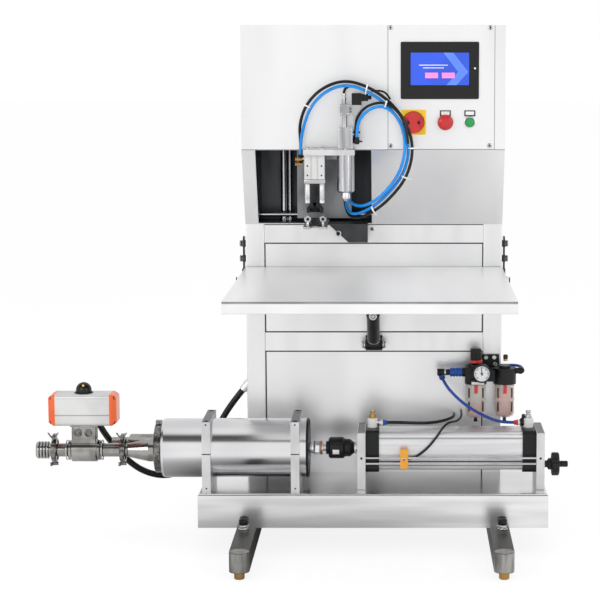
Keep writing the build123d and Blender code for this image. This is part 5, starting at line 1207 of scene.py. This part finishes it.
@dataclass(frozen=True)
class ValveLine(Assembly):
    """Wing nuts of the clamps, and the actuator's painted shade lines, screws and position dome."""

    x: float = -750.0
    y: float = -164.5
    z: float = 255.0
    clamps: tuple[float, float] = (-828.0, -651.0)
    bolt_z: float = 292.25
    actuator_bottom: float = 324.5
    actuator_top: float = 406.5
    actuator_half: float = 70.0
    actuator_front: float = -200.5
    cover_screw: Point = (10.5, 27.5, 9.5)
    dome_radius: float = 20.3
    valve_nuts: tuple[float, float] = (-795.5, -704.5)
    tail_ribs: tuple[float, ...] = (-846.0, -854.0, -862.0, -870.0)

    def wing_nuts(self) -> None:
        """Screw a wing nut on each clamp bolt and set the hinge below."""
        nuts, profile = Shape(), [(0, 0), (0, 6.4), (5, 5.6), (9, 4.6), (9, 0)]
        y, z, front, top = self.y, self.z, self.y - 22, self.bolt_z
        for x in self.clamps:
            nuts.turned(profile, (x, front + 4, top), FRONT, 24)
            for side in (-1, 1):
                low = (x + side * 5 - 2.2, front - 4, top + 1)
                nuts.block(low, (low[0] + 4.4, front + 1.5, top + 13), 1.2, lean=side * 8.0)
            nuts.rod((x - 8, y, z - 36), (x + 8, y, z - 36), 4.6, bevel=0.8)
            nuts.rod((x - 9, y - 8, z - 41), (x - 9, y - 8, z - 31), 3.0, bevel=0.6)
            nuts.band((x, y, z), RIGHT, 32.4, 33.4, 4.0)
        nuts.done("clamp_wing_nuts", CLAMP)

    def nut_rings(self) -> None:
        """Cut the bright grooves of the valve's nuts and of the hose tail."""
        rings = Shape()
        for x in self.valve_nuts:
            rings.band((x, self.y, self.z), RIGHT, 25.5, 26.7, 3.0)
        for x in self.tail_ribs:
            rings.band((x, self.y, self.z), RIGHT, 21.6, 23.2, 2.2)
        rings.done("line_rings", NICKEL)

    def actuator_shade_lines(self) -> None:
        """Draw painted shade along the actuator's upper edge and in its groove."""
        lines, y, half = Shape(), self.actuator_front, self.actuator_half - 0.4
        for front, back, low, high in ((-0.15, 0.3, 396.4, 397.4), (1.0, 1.6, 351.7, 354.3)):
            lines.block((self.x - half, y + front, low), (self.x + half, y + back, high), 0.1, 1)
        lines.done("actuator_shade_lines", EDGE_SHADE)

    def stand(self) -> None:
        """Close the front of the actuator's stand with its plate and two round bosses."""
        x, y, bosses = self.x, self.y - 17.0, Shape()
        Shape().block((x - 27, y - 4.5, 288), (x + 27, y, 321), 1.2).done("stand_plate", TUMBLED)
        profile = [(0, 0), (0, 10.5), (2.4, 10.5), (3.4, 9.4), (3.4, 6.4), (1.4, 5.6), (1.4, 0)]
        for dx in (-13.5, 13.5):
            bosses.turned(profile, (x + dx, y - 4.5, 304.5), FRONT)
        bosses.done("stand_bosses", CLAMP)

    def cap_screws(self) -> None:
        """Set four dark screws in each orange end cover, each leaning with its rounded corner."""
        heads, (out, aside, down) = Shape(), self.cover_screw
        for side in (-1, 1):
            x = self.x + side * (self.actuator_half + out)
            for turn in (-1, 1):
                for up, z in ((-1, self.actuator_bottom + down), (1, self.actuator_top - down)):
                    lean = (side * 0.75, turn * 0.45, up * 0.25)
                    heads.screw((x, self.y + turn * aside, z), lean, 4.6, 4.0)
        heads.done("end_cover_screws", BLACKENED)

    def dome(self) -> None:
        """Cap the stem with the black position dome and its pale spot."""
        r, seat, tilt = self.dome_radius, self.actuator_top + 0.3, math.radians(42)
        turns = [math.radians(turn) for turn in range(0, 91, 10)]
        arc = [(7 + r * math.sin(turn), r * math.cos(turn)) for turn in turns]
        dome = Shape().turned([(0, r - 1.5), (0.4, r), *arc], (self.x, self.y, seat), UP)
        dome.done("position_dome", BLACK_ABS, Body.BALL)
        spot = (self.x + 1.0, self.y - r * math.cos(tilt), seat + 7 + r * math.sin(tilt))
        outward = (0.0, -math.cos(tilt), math.sin(tilt))
        mark = Shape().turned([(-1, 3.2), (0.4, 3.0), (0.8, 1.6), (0.9, 0)], spot, outward, 20)
        mark.done("position_spot", YELLOW_ABS, Body.BALL)

    def base_ring(self) -> None:
        """Lay the ring under the dome."""
        seat = (self.x, self.y, self.actuator_top + 0.9)
        Shape().band(seat, UP, 20.6, 24.0, 1.8).done("dome_ring", BLACK_NYLON)


@dataclass(frozen=True)
class AirService(Assembly):
    """Gauge dial, bowls, sight dome and small fittings of the air service unit."""

    y: float = -52.0
    regulator_x: float = 270.0
    oiler_x: float = 346.5
    body_bottom: float = 411.0
    body_top: float = 463.0
    bowl: float = 26.0
    bowl_low: float = 321.0
    gauge_x: float = 284.0
    gauge_z: float = 445.0
    gauge_face: float = -102.0
    slot_x: float = 18.1
    slot_z: tuple[float, float] = (338.5, 375.5)
    rib_z: tuple[float, float] = (369.5, 406.0)
    bracket_screws: tuple[tuple[float, float], ...] = ((299.0, 473.0), (320.5, 473.5), (323.0, 455.0))
    inlet: Point = (181.4, -65.7, 426.9)
    inlet_run: Point = (8.4, -15.6, -16.1)

    def gauge(self) -> None:
        """Build the dial with its ticks, the needle, the rim and the clear cover."""
        x, y, z = self.gauge_x, self.gauge_face, self.gauge_z
        dial = Shape().turned([(-0.2, 20.9), (0.3, 20.9), (0.3, 10), (0.3, 0)], (x, y, z), FRONT, 64)
        dial.done("gauge_dial", DIAL_WHITE)
        ink, middle, hub = Shape(), Vector((x, y - 0.55, z)), Vector((x, y - 1.0, z))
        for step in range(19):
            turn = math.radians(-135 + 15 * step)
            along = Vector((math.sin(turn), 0.0, math.cos(turn)))
            start, width = (15.6, 0.55) if step % 3 else (13.6, 0.85)
            ink.rod(tuple(middle + along * start), tuple(middle + along * 18.6), width, sides=6)
        needle = Vector((-0.12, 0.0, 1.0)).normalized()
        ink.rod(tuple(hub - needle * 5), tuple(hub + needle * 14.5), 1.5, 0.6, sides=8)
        ink.turned([(0.4, 0), (0.4, 3.2), (1.4, 3.0), (1.8, 1.6), (1.9, 0)], (x, y, z), FRONT, 24)
        ink.done("gauge_ink", DIAL_INK)
        Shape().band((x, y - 1.6, z), FRONT, 20.6, 24.4, 2.4).done("gauge_rim", BLACK_ABS)
        cover = Shape().turned([(1.9, 20.8), (2.3, 20.8), (2.5, 12), (2.6, 0)], (x, y, z), FRONT, 48)
        cover.done("gauge_cover", CLEAR_ACRYLIC)

    def knob_ring(self) -> None:
        """Put the red lock ring under the adjusting knob and a stepped cap on the knob's top."""
        x, y, z = self.regulator_x, self.y, self.body_top
        ring = Shape().band((x, y, z + 7.6), UP, 14.3, 17.4, 7.0)
        ring.done("regulator_lock_ring", RED_ABS, Body.REGULATOR)
        profile = [(0, 12.6), (0.8, 12.2), (1.2, 9.0), (0.5, 8.4), (0.5, 0)]
        Shape().turned(profile, (x, y, z + 41), UP).done("regulator_cap", BLACK_ABS, Body.REGULATOR)

    def _guard(self, name: str, x: float, level: float) -> bpy.types.Object:
        """Build one bowl: smoky guard, oil, slots, red catch and drain.

        Args:
            name: Start of the pieces' names.
            x: Middle of the bowl.
            level: Height of what stands in it.

        Returns:
            The guard.
        """
        r, y, low = self.bowl, self.y, self.bowl_low
        tall, rise = self.body_bottom - low, level - low
        shell = [
            (tall, r - 0.6), (tall - 3, r), (11, r), (4.5, r - 3), (0.8, r - 9), (0, r - 14), (0, 5), (1.6, 5),
            (2.4, r - 13), (6, r - 6), (12, r - 2.2), (tall, r - 2.2),
        ]
        oil = [(3.2, 0), (3.2, r - 11), (8, r - 5), (14, r - 3.4), (rise - 1, r - 3.4), (rise, r - 4.4), (rise, 0)]
        guard = Shape().turned(shell, (x, y, low), UP, 64).done(f"{name}_guard", SMOKY_GUARD)
        Shape().turned(oil, (x, y, low), UP, 48).done(f"{name}_oil", PINK_OIL)
        # Painted shadow: dark blocks stand in the guard's slots.
        slots, rims = Shape(), Shape()
        for middle in (x - self.slot_x, x + self.slot_x):
            for z in self.slot_z:
                slots.block((middle - 2.2, y - 20.2, z), (middle + 2.2, y - 17.6, z + 26), 0.8)
        slots.done(f"{name}_slots", GAP_SHADE)
        catch = Shape().block((x - 4.6, y - 28.2, 388), (x + 4.6, y - 24.6, 411.5), 1.4)
        catch.done(f"{name}_catch", RED_ABS)
        for z in self.rib_z:
            rims.band((x, y, z), UP, r - 0.6, r + 0.5, 3.0)
        rims.done(f"{name}_ribs", SMOKY_GUARD)
        drain = [(2, 0), (2, 6.5), (-1, 6.5), (-2, 4.5), (-8, 4.5), (-8.6, 5.4), (-12.4, 5.4), (-13, 4), (-13, 0)]
        Shape().turned(drain, (x, y, low), UP, 24).done(f"{name}_drain", BLACKENED)
        return guard

    def bowls(self) -> None:
        """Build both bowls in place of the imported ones."""
        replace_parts(self._guard("filter_bowl", self.regulator_x, 352.0), "air_bowls")
        self._guard("oiler_bowl", self.oiler_x, 398.0)

    def sight_dome(self) -> None:
        """Build the oiler's clear dome, brass ring and black cap."""
        x, y, z = self.oiler_x + 2, self.y, self.body_top
        dome = Shape().turned([(-4, 9), (2, 9), (5, 8.2), (8, 6.4), (9, 4.4), (9, 0)], (x, y, z), UP, 32)
        dome.done("sight_dome", CLEAR_ACRYLIC)
        ring = Shape().turned([(8.6, 0), (8.6, 5.4), (13.8, 5.4), (13.8, 0)], (x, y, z), UP, 24)
        ring.band((x, y, z + 11), UP, 5.0, 6.0, 2.0).done("sight_dome_ring", BRASS)
        cap = Shape().turned([(13.8, 0), (13.8, 6), (20, 6.4), (24, 6), (25, 4.6), (25, 0)], (x, y, z), UP, 24)
        cap.done("sight_dome_cap", BLACK_ABS)

    def label(self) -> None:
        """Fix the bare strip on the regulator's front."""
        strip = Shape().block((258.0, self.y - 30.4, 412.5), (291.0, self.y - 24.5, 419.5), 0.5)
        strip.done("regulator_strip", LABEL)

    def bolts(self) -> None:
        """Set the bright bolts of the unit's bracket."""
        heads = Shape()
        for x, z in self.bracket_screws:
            heads.screw((x, -8.0, z), FRONT, 5.6, 4.6)
        heads.done("bracket_screws", NICKEL)

    def inlet_fittings(self) -> None:
        """Add the steel nipple and the elbow's blue collet at the inlet."""
        Shape().band((188.4, self.y, 441.0), RIGHT, 7.8, 9.4, 4.6).done("inlet_nipple", NICKEL)
        arm = Vector(self.inlet_run).normalized()
        seat = tuple(Vector(self.inlet) - arm * 2.0)
        Shape().band(seat, tuple(arm), 4.4, 8.0, 6.0).done("inlet_collet", BLUE_ACETAL)

    def outlet(self) -> None:
        """Add the oiler's black elbow."""
        x, y, z = self.oiler_x + 46.0, self.y, 445.0
        elbow = Shape().rod((x - 8, y, z), (x, y, z), 9.0, bevel=1.0)
        elbow.rod((x - 1, y - 2, z), (x - 1, y + 14, z + 2), 7.6, 7.0, bevel=1.4)
        elbow.done("outlet_elbow", BLACK_NYLON)


@dataclass(frozen=True)
class Cord:
    """One hose or cable as a smooth curve through its route."""

    name: str
    diameter: float
    length: float
    finish: Finish
    body: Body
    route: tuple[Point, ...]
    node: str = ""
    stiffness: str = "stiff"

    def build(self) -> None:
        line = bpy.data.curves.new(self.name, "CURVE")
        line.dimensions = "3D"
        line.resolution_u = 12
        line.bevel_depth = self.diameter / 2 * MM
        line.bevel_resolution = 5
        line.use_fill_caps = True
        spline = line.splines.new("NURBS")
        spline.points.add(len(self.route) - 1)
        for point, spot in zip(spline.points, self.route):
            point.co = (*place(*spot), 1.0)
        spline.order_u = 3
        spline.use_endpoint_u = True
        line.materials.append(self.finish.material())
        piece = show(self.name, line)
        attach(piece, self.body.value)
        if self.node:
            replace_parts(piece, self.node)
        LOG.info("cord %s", self.name)


CORDS = (
    Cord(
        "blue_loop_hose", 8, 895, BLUE_TUBE, Body.CARRIAGE,
        (
            (-184.5, -160.5, 1020), (-184.5, -160.5, 1050), (-176, -176, 1094), (-157, -183, 1146),
            (-119, -184, 1184), (-70, -184, 1201), (-18, -184, 1187), (36, -184, 1151), (80, -184, 1094),
            (94, -184, 1034), (78, -184, 972), (36, -183, 920), (-4, -172, 886), (-42, -144, 867),
            (-66, -104, 870), (-73, -76, 905), (-72, -70, 950), (-72, -70, 994),
        ),
        "loop_hose_blue",
    ),
    Cord(
        "black_loop_hose", 8, 970, BLACK_TUBE, Body.CARRIAGE,
        (
            (-184.5, -148.5, 1020), (-184.5, -148.5, 1052), (-187, -168, 1100), (-167, -183, 1154),
            (-125, -187, 1194), (-70, -187, 1212), (-12, -187, 1196), (46, -187, 1157), (90, -187, 1098),
            (104, -187, 1034), (87, -187, 965), (42, -187, 910), (0, -178, 876), (-38, -148, 857),
            (-64, -108, 861), (-75, -78, 893), (-75, -73, 942), (-84, -70, 994),
        ),
        "loop_hose_black",
    ),
    Cord(
        "blue_branch_hose", 8, 611, BLUE_TUBE, Body.CARRIAGE,
        (
            (-40.5, -168, 1067), (-40.5, -168, 1090), (-31, -178, 1118), (-4, -191, 1142), (30, -196, 1147),
            (60, -197, 1124), (80, -197, 1082), (83, -197, 1030), (68, -196, 976), (32, -192, 928), (-4, -180, 899),
            (-34, -154, 888), (-60, -118, 896), (-73, -98, 925), (-72, -92, 960), (-72, -92, 994),
        ),
        "branch_hose",
    ),
    Cord(
        "black_valve_hose", 7, 58, BLACK_TUBE, Body.CARRIAGE,
        (
            (-73.5, -155, 1176), (-73, -156, 1185), (-66, -160, 1193), (-54, -166, 1196), (-43, -172, 1195),
            (-32, -176, 1191),
        ),
    ),
    Cord(
        "black_branch_hose", 7, 263, BLACK_TUBE, Body.CARRIAGE,
        (
            (-44, -156, 1071), (-45, -158, 1094), (-38, -172, 1124), (-10, -188, 1150), (31, -196, 1157),
            (66, -202, 1133), (87, -206, 1090), (90, -206, 1052),
        ),
    ),
    Cord(
        "black_coil_cable", 5, 64, BLACK_TUBE, Body.CARRIAGE,
        ((-3.5, -155, 1183), (6, -158, 1184), (22, -166, 1184), (36, -176, 1178), (44, -186, 1164)), "", "medium",
    ),
    Cord(
        "reader_cable", 6, 329, BLACK_TUBE, Body.MACHINE,
        (
            (86, -190, 238), (106, -190, 240), (126, -190.3, 252), (146, -190.5, 271), (163, -190.5, 293),
            (178, -186, 316), (192, -170, 327), (205, -147, 326), (216, -120, 322), (226, -92, 322),
            (232, -60, 325), (233, -28, 328), (233, 2, 328),
        ),
        "sensor_cable", "medium",
    ),
    Cord(
        "service_air_tube", 8, 241, NAVY_TUBE, Body.MACHINE,
        (
            (181.4, -65.7, 426.9), (189.8, -81.3, 410.8), (209, -94, 390), (231, -102, 370.5), (256, -108, 353),
            (285, -115, 338), (315, -126, 326), (344, -135, 322), (371.5, -135, 322),
        ),
        "service_tube",
    ),
    Cord(
        "oiler_air_tube", 8, 83, NAVY_TUBE, Body.MACHINE,
        ((392, -40, 447), (394, -26, 449), (388, -12, 451), (372, -5, 452), (352, -4, 451), (336, 4, 450)),
    ),
    Cord(
        "port_air_tube", 8, 259, BLACK_TUBE, Body.MACHINE,
        (
            (30.5, -135, 322), (56, -135, 322), (90, -129, 320), (126, -119, 317), (158, -104, 315.5),
            (184, -82, 316), (204, -56, 317.5), (214, -28, 319), (214, 2, 319),
        ),
        "port_hose",
    ),
    Cord(
        "valve_hose_loom", 17, 641, BLACK_TUBE, Body.MACHINE,
        (
            (-738, -84, 378), (-738, -84, 334), (-717.5, -80, 290.5), (-693.8, -73, 254), (-654.7, -60, 203),
            (-610.7, -42, 167.4), (-556.4, -18, 150.9), (-500.8, 4, 167.7), (-454.4, 18, 219.6),
            (-416.4, 26, 289.2), (-384.9, 27, 341.1), (-353.5, 27, 379.5),
        ),
        "valve_loom", "medium",
    ),
)


@dataclass(frozen=True)
class Studio(Assembly):
    """Camera, floor and soft light. The floor's and the room's own measures are metres and levels."""

    eye: Point = (67.8, -5000.0, 1295.5)
    pitch: float = 0.133
    focal: float = 113.7
    side_shift: float = -0.1657
    far_clip: float = 60.0
    floor_half: float = 40.0
    floor_glow: float = 1.06
    glow_share: float = 0.82
    shade_reach: tuple[float, float] = (0.3, 0.75)
    shade_level: float = 0.06
    room: tuple[tuple[float, float], ...] = (
        (0.0, 0.95), (0.5, 0.92), (0.6, 0.1), (0.84, 0.06), (0.93, 0.9), (1.0, 0.95),
    )
    rear_turn: float = 0.15
    rear_level: float = 0.85
    diffuse_level: float = 0.74
    softboxes: tuple[tuple[str, Point, Point, float, float, bool], ...] = (
        ("overhead_softbox", (0, -700, 3400), (0, -200, 500), 2.6, 26.0, False),
        ("left_softbox", (-2300, -3000, 1700), (0, 0, 700), 1.8, 26.0, True),
        ("right_softbox", (2300, -3000, 1700), (0, 0, 700), 1.8, 20.0, True),
    )

    def camera(self) -> None:
        """Set up the camera of the photograph and plain colours."""
        bpy.context.scene.view_settings.view_transform = "Standard"
        lens = bpy.data.cameras.new("camera")
        lens.lens, lens.shift_x, lens.clip_end = self.focal, self.side_shift, self.far_clip
        camera = show("camera", lens)
        camera.location = place(*self.eye)
        camera.rotation_euler = (math.pi / 2 - self.pitch, 0.0, 0.0)
        bpy.context.scene.camera = camera

    def floor(self) -> None:
        """Lay the pale floor: white where it is seen, shaded under the machine in what mirrors it."""
        mesh = bmesh.new()
        bmesh.ops.create_grid(mesh, x_segments=1, y_segments=1, size=self.floor_half)
        data = bpy.data.meshes.new("studio_floor")
        mesh.to_mesh(data)
        mesh.free()
        made = bpy.data.materials.new("pale_studio_floor")
        tree = empty_tree(made)
        mirrored, direct = ray_kinds(tree)
        seen = add_node(tree, "ShaderNodeMath", {0: direct, 1: mirrored}, operation="MAXIMUM").outputs[0]
        share = add_node(tree, "ShaderNodeMath", {0: seen, 1: self.glow_share}, operation="MULTIPLY").outputs[0]
        spot = add_node(tree, "ShaderNodeTexCoord").outputs["Object"]
        away = add_node(tree, "ShaderNodeVectorMath", {0: spot}, operation="LENGTH").outputs["Value"]
        reach = {1: self.shade_reach[0], 2: self.shade_reach[1], 3: self.shade_level, 4: 1.0}
        shade = add_node(tree, "ShaderNodeMapRange", {0: away, **reach}).outputs[0]
        level = add_node(tree, "ShaderNodeMix", {0: mirrored, 2: self.floor_glow, 3: shade}).outputs[0]
        glow = add_node(tree, "ShaderNodeEmission", {"Color": grey(1.0), "Strength": level}).outputs[0]
        matt = add_node(tree, "ShaderNodeBsdfDiffuse", {"Color": linear("f4f4f4")}).outputs[0]
        mixed = add_node(tree, "ShaderNodeMixShader", {0: share, 1: matt, 2: glow})
        add_node(tree, "ShaderNodeOutputMaterial", {"Surface": mixed.outputs[0]})
        data.materials.append(made)
        show("studio_floor", data)

    def world(self) -> None:
        """Light the room: white to the camera, plain to matt surfaces, with a dimmer belt for metal."""
        world = bpy.data.worlds.new("studio_world")
        bpy.context.scene.world = world
        tree = empty_tree(world)
        heading = add_node(tree, "ShaderNodeTexCoord").outputs["Generated"]
        parts = add_node(tree, "ShaderNodeSeparateXYZ", {0: heading}).outputs
        belt = add_node(tree, "ShaderNodeValToRGB", {0: parts["Z"]})
        ramp = belt.color_ramp
        (first, low), *middle, (last, high) = self.room
        ramp.elements[0].position, ramp.elements[0].color = first, grey(low)
        ramp.elements[1].position, ramp.elements[1].color = last, grey(high)
        for spot, level in middle:
            ramp.elements.new(spot).color = grey(level)
        rear = add_node(tree, "ShaderNodeMapRange", {0: parts["Y"], 1: 0.0, 2: self.rear_turn}).outputs[0]
        mirrored, direct = ray_kinds(tree)
        colour = belt.outputs[0]
        for share, under, over in (
            (rear, None, grey(self.rear_level)), (mirrored, grey(self.diffuse_level), None),
            (direct, None, grey(1.0)),
        ):
            layers = {0: share, 6: under or colour, 7: over or colour}
            colour = add_node(tree, "ShaderNodeMix", layers, data_type="RGBA").outputs[2]
        back = add_node(tree, "ShaderNodeBackground", {"Color": colour, "Strength": 1.0})
        add_node(tree, "ShaderNodeOutputWorld", {"Surface": back.outputs[0]})

    def lamps(self) -> None:
        """Hang the soft lamps; the one overhead isn't mirrored in the metal."""
        for name, spot, aim, size, power, mirrored in self.softboxes:
            lamp = bpy.data.lights.new(name, "AREA")
            lamp.shape, lamp.size, lamp.energy = "DISK", size, power
            item = show(name, lamp)
            item.location = place(*spot)
            item.rotation_euler = (place(*aim) - place(*spot)).to_track_quat("-Z", "Y").to_euler()
            item.visible_glossy = mirrored


def main() -> None:
    """Build every part of the looks in order."""
    logging.basicConfig(level=logging.INFO, format="%(message)s")
    Studio().build()
    for cord in CORDS:
        cord.build()
    for maker in (
        Dress(), Column(), Head(), Controls(), FillingCarriage(), Bracket(), BagTable(), Pump(), AirCylinder(),
        ValveLine(), AirService(),
    ):
        maker.build()


if __name__ == "__main__":
    main()
